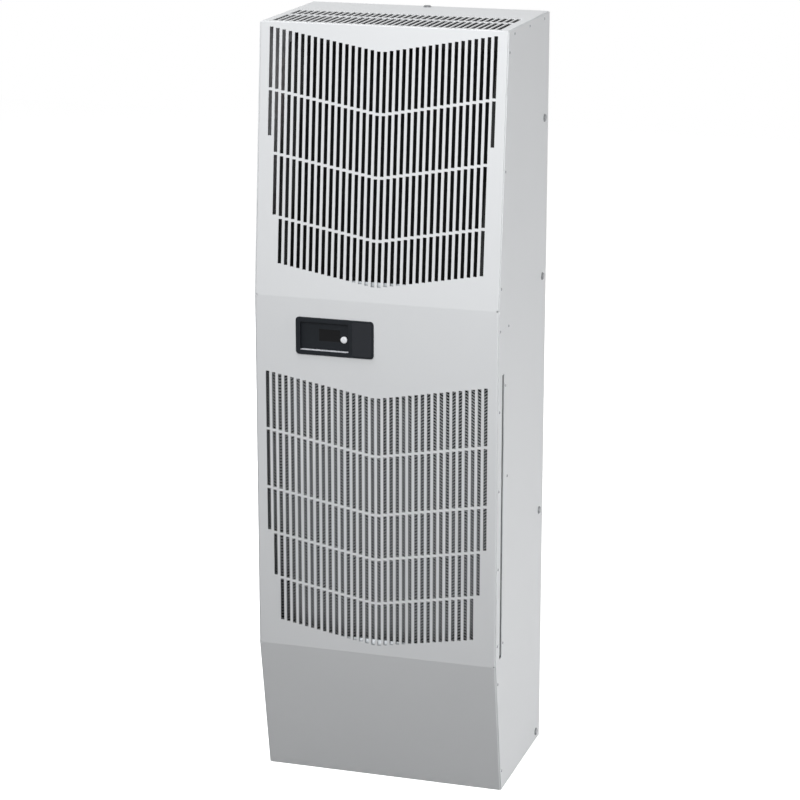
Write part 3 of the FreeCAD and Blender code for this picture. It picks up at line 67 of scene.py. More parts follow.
def srgb(code):
    """A hex colour as linear red, green, blue and a full alpha."""
    parts = [int(code[start:start + 2], 16) / 255 for start in (0, 2, 4)]
    return [p / 12.92 if p <= 0.04045 else ((p + 0.055) / 1.055) ** 2.4 for p in parts] + [1.0]


def colour(name, code, description):
    """A colour whose default is written in hex."""
    return FloatVectorProperty(name=name, description=description, subtype="COLOR", size=4,
                               min=0, max=1, default=srgb(code))


def length(name, millimetres, description):
    """A length whose default is written in millimetres."""
    return FloatProperty(name=name, description=description, unit="LENGTH", precision=5,
                         default=millimetres / 1000)


def angle(name, degrees, description):
    """An angle whose default is written in degrees."""
    return FloatProperty(name=name, description=description, subtype="ANGLE", unit="ROTATION",
                         default=math.radians(degrees))


def power(name, watts, description):
    """The power of a lamp."""
    return FloatProperty(name=name, description=description, unit="POWER", default=watts)


class CoilSizes(bpy.types.PropertyGroup):
    """Sizes of the fins of both coils"""
    fin_pitch: length("Fin pitch", 2.1, "Distance from one fin to the next")
    fin_thickness: length("Fin thickness", 0.25, "Thickness of a fin with its coating")
    wave_height: length("Wave height", 0.7, "Sideways height of the waves pressed into each fin")
    wave_count: IntProperty(name="Waves", description="Half waves across the depth of a fin", default=6)
    condenser_lean: angle("Condenser lean", 17, "How far the front coil leans back")
    depth: length("Coil depth", 44, "Depth of a fin along the air flow")


class FilterSizes(bpy.types.PropertyGroup):
    """Sizes of the ribbons in the air filter"""
    # crimped filters have ribbons about 4.5 mm apart, drawn at 5.5 mm so that a pixel can hold them
    pitch: length("Ribbon pitch", 5.5, "Height from one ribbon to the next")
    leg: length("Leg", 30, "Distance over which the ribbons slope one way before they turn back")
    rise: length("Rise", 18, "Height by which a ribbon rises over one leg")
    width: length("Ribbon width", 2.3, "Height of the cut ribbon's face")
    core_width: length("Core ribbon width", 5.29, "Height of the ribbons that close the filter's core")
    thickness: length("Ribbon thickness", 0.3, "Thickness of the ribbon")
    tilt: angle("Ribbon tilt", 8, "How far the ribbons' faces look up")
    layer_gap: length("Layer gap", 2.6, "Distance from one layer of ribbons to the next")
    rear_offset: length("Rear offset", 3.51, "Distance from the middle layer to the rear one")


class ControllerSizes(bpy.types.PropertyGroup):
    """Sizes of the controller's mouldings"""
    corner: length("Frame corner", 6, "Radius of the frame's outer corners")
    edge: length("Frame edge", 1.2, "Radius of the frame's front edges")
    lip: length("Recess lip", 0.6, "Radius of the recess's front edge")
    recess_corner: length("Recess corner", 2, "Radius of the recess's corners")
    pane_corner: length("Pane corner", 0.15, "Radius of the corners of the display's opening")
    tub_wall: length("Tub wall", 2, "Wall of the tub behind the recess")
    pad_gap: length("Pad gap", 7, "Distance from the recess to the flat pad beside it")
    pad_margin: length("Pad margin", 3.2, "Distance from the pad to the frame's edge")
    pad_rise: length("Pad rise", 0.5, "How far the pad stands over the frame, and is let into it")
    pad_bevel: length("Pad bevel", 0.25, "Bevel of the pad's edge")
    sill: length("Sill", 0.8, "Thickness of the pale sill on the floor of the recess")
    sill_corner: length("Sill corner", 0.3, "Radius of the sill's long edges")
    sill_inset: length("Sill inset", 0.6, "How far the sill stays inside the recess's front and ends")
    sill_sink: length("Sill sink", 0.1, "How far the sill is let into the floor of the recess")
    sill_gap: length("Sill gap", 0.15, "Gap between the sill and the back of the recess")
    dome: length("Button dome", 0.9, "Height of the button's crown")
    flange_lap: length("Flange lap", 1.8, "How far the button's flange reaches past its cap")
    flange_thickness: length("Flange thickness", 1.53, "Thickness of the button's flange")
    button_gap: length("Button gap", 0.15, "Gap between the button's cap and the frame")


class CabinetColours(bpy.types.PropertyGroup):
    """Colours of the cabinet and its fasteners"""
    powder: colour("Powder coat", "D8DADC", "Light grey polyester powder coat of the panels")
    zinc: colour("Zinc plating", "A9ABAC", "Zinc-plated bolts, sleeves, shafts and guard")
    galvanised: colour("Galvanised sheet", "B4B8BB", "Galvanised sheet of the inner walls")
    rubber: colour("Rubber", "1B1B1D", "Moulded rubber of grommets and seal")
    # the cover screws' zinc is darkened as painted shade, for the dark surroundings that they reflect
    screw: colour("Screws", "8C8E90", "Shade-darkened zinc of the cover screws")
    # the rivets' tone is darkened as painted shade, so that their heads read as dark dots with a weaker
    # glint
    rivet: colour("Rivet", "909295", "Aluminium blind rivets")


class CircuitColours(bpy.types.PropertyGroup):
    """Colours of the coils, the air filter and the refrigerant circuit"""
    # the partition also takes this black, as painted shade that keeps the inside dark through the vents
    coating: colour("Coil coating", "0E0F10", "Black epoxy coating of the front coil and the partition")
    aluminium: colour("Aluminium", "C9CBCE", "Mill-finish aluminium of the rear coil and the capacitor")
    ribbon: colour("Filter ribbon", "9C9EA0", "Oiled aluminium ribbon on both faces of the air filter")
    # the frame, middle and core tones are darkened as painted shade: the frame's for the shade in its slot,
    # the middle and the near-black core for the shade deep inside the filter
    filter_frame: colour("Filter frame", "77797B", "Painted-shade aluminium of the air filter's frame")
    middle_shade_ribbon: colour("Shaded ribbon", "626466", "Shaded ribbon in the middle of the air filter")
    core_shade_ribbon: colour("Deep-shade ribbon", "2C2D2E", "Ribbon in the filter's core, near black as painted shade")
    copper: colour("Copper", "B87350", "Drawn copper of tubes and lines")
    tarnish: colour("Tarnish", "7A4A36", "Darker oxide that clouds the copper")
    enamel: colour("Black enamel", "161719", "Baked enamel of compressor, accumulator and motors")
    iron: colour("Iron", "4B4B4D", "Stacked iron of the compressor's inside")
    tray: colour("Tray plastic", "9C9EA0", "Grey moulded plastic of drip tray and drain")


class ControllerColours(bpy.types.PropertyGroup):
    """Colours of the controller"""
    frame: colour("Frame", "1D2024", "Black moulded plastic of the controller, the fans and the electrics")
    pad: colour("Pad", "292B2F", "Slightly lighter flat pad beside the recess")
    pane: colour("Pane", "0F0F11", "Smoked pane over the blank display")
    button: colour("Button", "E9EBEF", "Satin white button")
    # the sill's pale colour is a painted highlight where the floor of the recess catches the light
    sill: colour("Sill", "D2D4DA", "Pale strip along the recess")


class StageSettings(bpy.types.PropertyGroup):
    """Camera, light and floor"""
    camera_place: FloatVectorProperty(
        name="Camera", description="Place of the camera", subtype="TRANSLATION", unit="LENGTH",
        default=(1.3543, -4.3374, 1.9370))
    camera_aim: FloatVectorProperty(
        name="Camera aim", description="Direction in which the camera looks", subtype="DIRECTION",
        default=(-0.2880, 0.9189, -0.2695))
    lens: FloatProperty(name="Lens", description="Focal length", unit="CAMERA", default=121.03)
    sensor: FloatProperty(name="Sensor", description="Width of the sensor", unit="CAMERA", default=36)
    key_power: power("Key lamp", 92, "Soft lamp above the front")
    side_power: power("Side lamp", 58, "Soft lamp low on the right")
    front_power: power("Front lamp", 47, "Soft lamp in front")
    back_power: power("Back lamp", 110, "Soft lamp behind on the left")
    ambient: FloatProperty(name="Ambient", description="Even light from all round", default=0.1)
    floor: colour("Floor", "E6E6E6", "Pale floor")
    floor_reach: length("Floor reach", 6500, "Distance from the object to the edges of the floor")
    floor_glow: FloatProperty(
        name="Floor glow", description="White that the floor adds of its own where it is seen",
        default=0.88)
    floor_bounce: FloatProperty(
        name="Floor bounce", description="Share of the floor's colour that lights the object",
        subtype="FACTOR", min=0, max=1, default=0.08)


# each lamp's name, the setting of its power, its width and height, its place and the point it is aimed at
LAMPS = (
    ("key_lamp", "key_power", (2.0, 1.6), (-0.8, -1.0, 5.0), (0, 0, 0.8)),
    ("side_lamp", "side_power", (1.4, 1.0), (3.0, 0.0, 0.3), (0.2, 0, 0.5)),
    ("front_lamp", "front_power", (1.2, 1.0), (0.4, -2.2, 2.0), (0, 0, 0.9)),
    ("back_lamp", "back_power", (1.8, 1.2), (-2.6, 2.4, 1.2), (0, 0, 0.7)),
)

GROUPS = {
    "aircon_coils": CoilSizes,
    "aircon_filter": FilterSizes,
    "aircon_controller": ControllerSizes,
    "aircon_cabinet_colours": CabinetColours,
    "aircon_circuit_colours": CircuitColours,
    "aircon_controller_colours": ControllerColours,
    "aircon_stage": StageSettings,
}


# finishes

# a wave texture turns by 20 radians in one unit, so its scale takes this factor to give one wave per mark
WAVE_FACTOR = 2 * math.pi / 20
# the colour sockets of a Mix node go by number, because its other data types have sockets of the same names
MIX_A, MIX_B, MIX_RESULT = 6, 7, 2
# lowest and highest roughness of clean rolled aluminium
MILL_ROUGHNESS = (0.28, 0.46)


def per_metre(millimetres):
    """Scale of a pattern whose marks are that many millimetres wide."""
    return 1000 / millimetres


def shade(tone, factor):
    """A linear colour made darker or lighter."""
    return [min(part * factor, 1) for part in tone[:3]] + [1.0]


def add(tree, kind, inputs=None, **settings):
    """One shader node with its settings, and its inputs set to values or linked to sockets."""
    made = tree.nodes.new("ShaderNode" + kind)
    for name, value in settings.items():
        setattr(made, name, value)
    for name, value in (inputs or {}).items():
        if isinstance(value, bpy.types.NodeSocket):
            tree.links.new(value, made.inputs[name])
        else:
            made.inputs[name].default_value = value
    return made


def blank(name):
    """A material with an empty node tree, and the place on the object in metres for its patterns."""
    made = bpy.data.materials.get(name) or bpy.data.materials.new(name)
    made.use_nodes = True
    made.node_tree.nodes.clear()
    return made, made.node_tree, add(made.node_tree, "TexCoord").outputs["Object"]


def surface(made, **inputs):
    """Ends a material in a principled shader."""
    named = {name.replace("_", " "): value for name, value in inputs.items()}
    shader = add(made.node_tree, "BsdfPrincipled", named)
    add(made.node_tree, "OutputMaterial", {"Surface": shader.outputs["BSDF"]})
    return made


def powder_coat(tone):
    """Polyester powder, sprayed and baked: an even satin grey with a fine orange peel."""
    made, tree, place = blank("polyester_powder_coat_baked")
    cloud = add(tree, "TexNoise", {"Vector": place, "Scale": per_metre(140), "Detail": 3})
    tint = add(tree, "Mix", {"Factor": cloud.outputs["Fac"], MIX_A: shade(tone, 0.985),
                             MIX_B: shade(tone, 1.015)}, data_type="RGBA")
    # the real peel is about 0.8 mm wide, drawn at 2.4 mm so that a pixel can hold it
    peel = add(tree, "TexNoise", {"Vector": place, "Scale": per_metre(2.4), "Detail": 2})
    gloss = add(tree, "MapRange", {"Value": peel.outputs["Fac"], "To Min": 0.42, "To Max": 0.56})
    relief = add(tree, "Bump", {"Height": peel.outputs["Fac"], "Strength": 0.12, "Distance": 0.0003})
    return surface(made, Base_Color=tint.outputs[MIX_RESULT], Roughness=gloss.outputs["Result"], IOR=1.5,
                   Normal=relief.outputs["Normal"])


def galvanised_sheet(tone):
    """Hot-dip galvanised steel: grey metal in flat crystals, each with its own glint."""
    made, tree, place = blank("galvanised_steel_hot_dipped")
    spangle = add(tree, "TexVoronoi", {"Vector": place, "Scale": per_metre(12)})
    crystal = add(tree, "SeparateColor", {"Color": spangle.outputs["Color"]}).outputs["Red"]
    tint = add(tree, "Mix", {"Factor": crystal, MIX_A: shade(tone, 0.86), MIX_B: shade(tone, 1.08)},
               data_type="RGBA")
    gloss = add(tree, "MapRange", {"Value": crystal, "To Min": 0.36, "To Max": 0.52})
    return surface(made, Base_Color=tint.outputs[MIX_RESULT], Metallic=1.0,
                   Roughness=gloss.outputs["Result"])


def zinc_plate(name, tone, roughness):
    """Zinc-plated steel, passivated: dull grey metal, clouded by handling."""
    made, tree, place = blank(name)
    cloud = add(tree, "TexNoise", {"Vector": place, "Scale": per_metre(5), "Detail": 4})
    tint = add(tree, "Mix", {"Factor": cloud.outputs["Fac"], MIX_A: shade(tone, 0.8),
                             MIX_B: shade(tone, 1.15)}, data_type="RGBA")
    gloss = add(tree, "MapRange", {"Value": cloud.outputs["Fac"], "To Min": roughness[0],
                                   "To Max": roughness[1]})
    return surface(made, Base_Color=tint.outputs[MIX_RESULT], Metallic=1.0,
                   Roughness=gloss.outputs["Result"])


def epoxy_coating(tone):
    """Electro-dipped black epoxy over fins, tubes and sheet: near black and dull, with a little dust."""
    made, tree, place = blank("epoxy_electro_dipped")
    dust = add(tree, "TexNoise", {"Vector": place, "Scale": per_metre(6), "Detail": 4})
    tint = add(tree, "Mix", {"Factor": dust.outputs["Fac"], MIX_A: shade(tone, 0.7),
                             MIX_B: shade(tone, 1.6)}, data_type="RGBA")
    gloss = add(tree, "MapRange", {"Value": dust.outputs["Fac"], "To Min": 0.4, "To Max": 0.65})
    return surface(made, Base_Color=tint.outputs[MIX_RESULT], Roughness=gloss.outputs["Result"], IOR=1.55,
                   Specular_IOR_Level=0.25)


def mill_aluminium(name, tone, roughness):
    """Aluminium as rolled: pale metal with fine streaks along the rolling direction."""
    made, tree, place = blank(name)
    # rolling lines are about 0.2 mm apart, drawn at 1.5 mm so that they show
    streak = add(tree, "Mapping", {"Vector": place,
                                   "Scale": (per_metre(1.5), per_metre(1.5), per_metre(70))})
    line = add(tree, "TexNoise", {"Vector": streak.outputs["Vector"], "Scale": 1.0, "Detail": 3})
    tint = add(tree, "Mix", {"Factor": line.outputs["Fac"], MIX_A: shade(tone, 0.88),
                             MIX_B: shade(tone, 1.08)}, data_type="RGBA")
    gloss = add(tree, "MapRange", {"Value": line.outputs["Fac"], "To Min": roughness[0],
                                   "To Max": roughness[1]})
    return surface(made, Base_Color=tint.outputs[MIX_RESULT], Metallic=1.0,
                   Roughness=gloss.outputs["Result"])


def drawn_copper(tone, tarnish):
    """Drawn copper tube: warm metal, clouded by brown oxide where it was brazed and handled."""
    made, tree, place = blank("copper_drawn")
    cloud = add(tree, "TexNoise", {"Vector": place, "Scale": per_metre(25), "Detail": 5})
    share = add(tree, "MapRange", {"Value": cloud.outputs["Fac"], "From Min": 0.45, "From Max": 0.75,
                                   "To Max": 0.8}).outputs["Result"]
    tint = add(tree, "Mix", {"Factor": share, MIX_A: tone, MIX_B: tarnish}, data_type="RGBA")
    gloss = add(tree, "MapRange", {"Value": share, "To Min": 0.24, "To Max": 0.5})
    return surface(made, Base_Color=tint.outputs[MIX_RESULT], Metallic=1.0,
                   Roughness=gloss.outputs["Result"])


def baked_enamel(tone):
    """Dipped and baked enamel: glossy black with a soft flow."""
    made, tree, place = blank("enamel_baked")
    flow = add(tree, "TexNoise", {"Vector": place, "Scale": per_metre(6), "Detail": 2})
    gloss = add(tree, "MapRange", {"Value": flow.outputs["Fac"], "To Min": 0.22, "To Max": 0.36})
    relief = add(tree, "Bump", {"Height": flow.outputs["Fac"], "Strength": 0.15, "Distance": 0.0005})
    return surface(made, Base_Color=tone, Roughness=gloss.outputs["Result"], IOR=1.5,
                   Normal=relief.outputs["Normal"])


def stacked_iron(tone):
    """Punched iron sheets in a stack: dark metal with a line at each sheet."""
    made, tree, place = blank("iron_sheets_stacked")
    # sheets of 0.5 mm, drawn at 2 mm so that the lines can be seen
    sheets = add(tree, "TexWave", {"Vector": place, "Scale": per_metre(2) * WAVE_FACTOR, "Distortion": 0.2},
                 bands_direction="Z")
    tint = add(tree, "Mix", {"Factor": sheets.outputs["Fac"], MIX_A: shade(tone, 0.7),
                             MIX_B: shade(tone, 1.2)}, data_type="RGBA")
    return surface(made, Base_Color=tint.outputs[MIX_RESULT], Metallic=0.9, Roughness=0.55)


def moulded_rubber(tone):
    """Moulded rubber: matt black with a mealy bloom."""
    made, tree, place = blank("rubber_moulded")
    bloom = add(tree, "TexNoise", {"Vector": place, "Scale": per_metre(1.5), "Detail": 4})
    tint = add(tree, "Mix", {"Factor": bloom.outputs["Fac"], MIX_A: shade(tone, 0.8),
                             MIX_B: shade(tone, 1.5)}, data_type="RGBA")
    relief = add(tree, "Bump", {"Height": bloom.outputs["Fac"], "Strength": 0.25, "Distance": 0.0003})
    return surface(made, Base_Color=tint.outputs[MIX_RESULT], Roughness=0.82, IOR=1.52,
                   Normal=relief.outputs["Normal"])


def rivet_aluminium(tone):
    """Aluminium blind rivets: formed heads with a dull finish, in a tone darkened as painted shade so that
    they read as dark dots.
    """
    made, tree, place = blank("aluminium_rivet_tumbled")
    mark = add(tree, "TexNoise", {"Vector": place, "Scale": per_metre(1.2), "Detail": 3})
    tint = add(tree, "Mix", {"Factor": mark.outputs["Fac"], MIX_A: shade(tone, 0.8),
                             MIX_B: shade(tone, 1.1)}, data_type="RGBA")
    gloss = add(tree, "MapRange", {"Value": mark.outputs["Fac"], "To Min": 0.4, "To Max": 0.6})
    return surface(made, Base_Color=tint.outputs[MIX_RESULT], Metallic=1.0,
                   Roughness=gloss.outputs["Result"])


def moulded_plastic(name, tone, roughness, specular):
    """Moulded ABS: the spark-eroded tool leaves a fine, even grain."""
    made, tree, place = blank(name)
    # the grain is about 0.3 mm wide, drawn at 0.9 mm so that it shows close up
    grain = add(tree, "TexNoise", {"Vector": place, "Scale": per_metre(0.9), "Detail": 3})
    tint = add(tree, "Mix", {"Factor": grain.outputs["Fac"], MIX_A: shade(tone, 0.92),
                             MIX_B: shade(tone, 1.08)}, data_type="RGBA")
    gloss = add(tree, "MapRange", {"Value": grain.outputs["Fac"], "To Min": roughness[0],
                                   "To Max": roughness[1]})
    relief = add(tree, "Bump", {"Height": grain.outputs["Fac"], "Strength": 0.2, "Distance": 0.0002})
    return surface(made, Base_Color=tint.outputs[MIX_RESULT], Roughness=gloss.outputs["Result"], IOR=1.54,
                   Specular_IOR_Level=specular, Normal=relief.outputs["Normal"])


def smoked_acrylic(tone):
    """Cast acrylic, smoked: nearly black and smooth, with a film of dust that blurs it in places."""
    made, tree, place = blank("acrylic_cast_smoked")
    dust = add(tree, "TexNoise", {"Vector": place, "Scale": per_metre(4), "Detail": 4})
    gloss = add(tree, "MapRange", {"Value": dust.outputs["Fac"], "To Min": 0.06, "To Max": 0.22})
    return surface(made, Base_Color=tone, Roughness=gloss.outputs["Result"], IOR=1.49,
                   Specular_IOR_Level=0.12)


def dress(material, *names):
    """Gives CAD nodes a finish."""
    for name in names:
        node = frame["nodes"][name]
        if not node.material_slots:
            node.data.materials.append(material)
        for place in node.material_slots:
            place.material = material


def in_slots(*slots):
    """Names of the CAD nodes that the record puts in these material slots."""
    return [row["node"] for row in frame["record"]["subparts"] if row["material_slot"] in slots]


# mesh work

def piece(name, mesh, material, body, slot, *stands_for):
    """Makes mesh work an object with its finish, carried by a CAD body, in place of the last named nodes."""
    bmesh.ops.recalc_face_normals(mesh, faces=mesh.faces)
    made = bpy.data.objects.new(name, bpy.data.meshes.new(name))
    mesh.to_mesh(made.data)
    mesh.free()
    made.data.materials.append(material)
    bpy.context.scene.collection.objects.link(made)
    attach(made, body)
    if stands_for:
        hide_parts(*stands_for)


def ring(mesh, points):
    """A loop of new vertices."""
    return [mesh.verts.new(point) for point in points]


def bridge(mesh, *loops, smooth=False):
    """Quads from each loop of vertices to the next."""
    for near, far in zip(loops, loops[1:]):
        for index in range(len(near)):
            face = mesh.faces.new((near[index - 1], near[index], far[index], far[index - 1]))
            face.smooth = smooth


def fill(mesh, *loops):
    """One flat face inside the first loop of vertices, with the other loops as holes."""
    edges = []
    for loop in loops:
        for index in range(len(loop)):
            pair = (loop[index - 1], loop[index])
            edges.append(mesh.edges.get(pair) or mesh.edges.new(pair))
    bmesh.ops.triangle_fill(mesh, edges=edges, use_beauty=True)


def quarter(steps):
    """Angles of a quarter turn, both ends included."""
    return [math.pi / 2 * step / steps for step in range(steps + 1)]


def rounded(x, z, radius, steps=6):
    """Outline of a rectangle with round corners, as (x, z) pairs."""
    corners = ((x[1], z[1], 0), (x[0], z[1], 90), (x[0], z[0], 180), (x[1], z[0], 270))
    outline = []
    for corner_x, corner_z, start in corners:
        centre_x = corner_x - radius if start in (0, 270) else corner_x + radius
        centre_z = corner_z - radius if start in (0, 90) else corner_z + radius
        for step in range(steps + 1):
            turn = math.radians(start + 90 * step / steps)
            outline.append((centre_x + radius * math.cos(turn), centre_z + radius * math.sin(turn)))
    return outline


def shrink(span, by):
    """A span with both of its ends moved in."""
    return span[0] + by, span[1] - by


def at(outline, y):
    """The outline's points in the frame, at one depth."""
    return [(x, y, z) for x, z in outline]


def circle(centre, radius, steps=48):
    """Outline of a circle, as (x, z) pairs."""
    return [(centre[0] + radius * math.cos(2 * math.pi * step / steps),
             centre[1] + radius * math.sin(2 * math.pi * step / steps)) for step in range(steps)]


def fins(mesh, sizes, half_width, height, place):
    """Thin wavy plates side by side, each pressed from one strip."""
    count = round(2 * half_width / sizes.fin_pitch)
    step = 2 * half_width / count
    spots = range(sizes.wave_count + 1)
    for number in range(count):
        middle = (number + 0.5) * step - half_width
        rows = []
        for z in (0, height):
            line = []
            for side in (-0.5, 0.5):
                for spot in spots if side < 0 else reversed(spots):
                    wave = sizes.wave_height * (0.5 if spot % 2 else -0.5)
                    point = Vector((middle + wave + side * sizes.fin_thickness,
                                    sizes.depth * spot / sizes.wave_count, z))
                    line.append(mesh.verts.new(place @ point))
            rows.append(line)
        bridge(mesh, *rows)
        for line in rows:
            for spot in range(sizes.wave_count):
                mesh.faces.new((line[spot], line[spot + 1], line[-2 - spot], line[-1 - spot]))


def herringbone(mesh, low, high, sizes, y, width, starts_low):
    """A sheet of zigzag ribbons, one above the other, cut level at its upper and lower edges."""
    legs = round((high.x - low.x) / sizes.leg)
    leg = (high.x - low.x) / legs
    across = Vector((0, math.sin(sizes.tilt), math.cos(sizes.tilt))) * width / 2
    through = Vector((0, -math.cos(sizes.tilt), math.sin(sizes.tilt))) * sizes.thickness / 2
    for number in range(round((high.z - low.z + sizes.rise) / sizes.pitch)):
        rings = []
        for turn in range(legs + 1):
            drop = sizes.rise if (turn % 2 == 0) == starts_low else 0
            spot = Vector((low.x + turn * leg, y, low.z + number * sizes.pitch - drop))
            rings.append(ring(mesh, (spot - across - through, spot + across - through,
                                     spot + across + through, spot - across + through)))
        bridge(mesh, *rings)
        mesh.faces.new(rings[0])
        mesh.faces.new(rings[-1])
    for edge, way in ((low.z, -1), (high.z, 1)):
        cut = bmesh.ops.bisect_plane(mesh, geom=mesh.verts[:] + mesh.edges[:] + mesh.faces[:],
                                     plane_co=(0, 0, edge), plane_no=(0, 0, way), clear_outer=True)
        rims = [item for item in cut["geom_cut"] if isinstance(item, bmesh.types.BMEdge)]
        bmesh.ops.holes_fill(mesh, edges=rims)


# operators

class AIRCON_OT_cabinet(bpy.types.Operator):
    """Finish the cabinet, its fasteners, seal and inner walls"""
    bl_idname = "aircon.cabinet"
    bl_label = "Finish Cabinet"

    def execute(self, context):
        tones = context.scene.aircon_cabinet_colours
        dress(powder_coat(tones.powder), *in_slots("powder_coat"))
        # the rivets' darker tone is painted shade, so that their heads read as dark dots
        dress(rivet_aluminium(tones.rivet), "cover_rivets", "guide_rivets")
        dress(galvanised_sheet(tones.galvanised), *in_slots("galvanised"))
        dress(zinc_plate("steel_zinc_plated", tones.zinc, roughness=(0.3, 0.5)), *in_slots("zinc_steel"))
        # the cover screws get darker zinc as painted shade, for the dark surroundings that they reflect
        dress(zinc_plate("steel_zinc_plated_dulled", tones.screw, roughness=(0.4, 0.6)), "cover_screws")
        dress(moulded_rubber(tones.rubber), *in_slots("rubber"))
        return {"FINISHED"}


class AIRCON_OT_circuit(bpy.types.Operator):
    """Finish the refrigerant circuit, partition, motors, capacitor and tray"""
    bl_idname = "aircon.circuit"
    bl_label = "Finish Circuit"

    def execute(self, context):
        tones = context.scene.aircon_circuit_colours
        dress(drawn_copper(tones.copper, tones.tarnish), *in_slots("copper"))
        dress(baked_enamel(tones.enamel), *in_slots("black_paint"))
        # the partition gets the black coating as painted shade, so that the inside reads dark through the
        # vents
        dress(epoxy_coating(tones.coating), "condenser_tubes", "partition", *in_slots("coil_black"))
        dress(mill_aluminium("aluminium_mill_finish", tones.aluminium, MILL_ROUGHNESS),
              *in_slots("aluminium", "can_aluminium"))
        dress(stacked_iron(tones.iron), *in_slots("motor_core"))
        grey = moulded_plastic("abs_moulded_grey", tones.tray, roughness=(0.4, 0.55), specular=0.5)
        dress(grey, *in_slots("grey_plastic"))
        return {"FINISHED"}


class AIRCON_OT_coils(bpy.types.Operator):
    """Build the fins of both coils"""
    bl_idname = "aircon.coils"
    bl_label = "Build Coils"

    def execute(self, context):
        sizes = context.scene.aircon_coils
        tones = context.scene.aircon_circuit_colours
        low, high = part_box("condenser_fins")
        lean = sizes.condenser_lean
        drop = sizes.depth * math.sin(lean)
        height = (high.z - low.z - drop) / math.cos(lean)
        place = Matrix.Translation((0, low.y, low.z + drop)) @ Matrix.Rotation(-lean, 4, "X")
        mesh = bmesh.new()
        fins(mesh, sizes, high.x, height, place)
        piece("condenser_fin_stack", mesh, epoxy_coating(tones.coating), "cabinet", "coil_black",
              "condenser_fins")
        low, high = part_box("evaporator_fins")
        mesh = bmesh.new()
        fins(mesh, sizes, high.x, high.z - low.z, Matrix.Translation((0, low.y, low.z)))
        metal = mill_aluminium("aluminium_mill_finish", tones.aluminium, MILL_ROUGHNESS)
        piece("evaporator_fin_stack", mesh, metal, "cabinet", "aluminium", "evaporator_fins")
        return {"FINISHED"}


class AIRCON_OT_filter(bpy.types.Operator):
    """Build the four layers of crimped ribbon in the air filter, and finish its frame"""
    bl_idname = "aircon.filter"
    bl_label = "Build Filter"

    def execute(self, context):
        sizes = context.scene.aircon_filter
        tones = context.scene.aircon_circuit_colours
        # the frame, the middle layer and the core take darker metal as painted shade, for the shade in the
        # slot and deep inside the filter
        frame_shade = mill_aluminium("aluminium_mill_finish_handled", tones.filter_frame, roughness=(0.5, 0.65))
        clean = mill_aluminium("aluminium_mill_finish_oiled", tones.ribbon, roughness=(0.45, 0.6))
        middle_shade = mill_aluminium("aluminium_mill_finish_dusty", tones.middle_shade_ribbon, roughness=(0.6, 0.8))
        core_shade = mill_aluminium("aluminium_mill_finish_caked", tones.core_shade_ribbon, roughness=(0.7, 0.9))
        dress(frame_shade, "filter_frame")
        low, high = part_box("filter_mesh")
        middle = (low.y + high.y) / 2
        # each layer's name, offset, ribbon width, whether its ribbons start low, metal and replaced node
        layers = (("filter_front_ribbons", -sizes.layer_gap, sizes.width, False, clean, ["filter_mesh"]),
                  ("filter_middle_ribbons", 0, sizes.width, True, middle_shade, []),
                  ("filter_core_ribbons", sizes.layer_gap, sizes.core_width, False, core_shade, []),
                  ("filter_rear_ribbons", sizes.rear_offset, sizes.width, True, clean, []))
        for name, offset, width, starts_low, metal, stands_for in layers:
            mesh = bmesh.new()
            herringbone(mesh, low, high, sizes, middle + offset, width, starts_low)
            piece(name, mesh, metal, "air_filter", "aluminium", *stands_for)
        return {"FINISHED"}


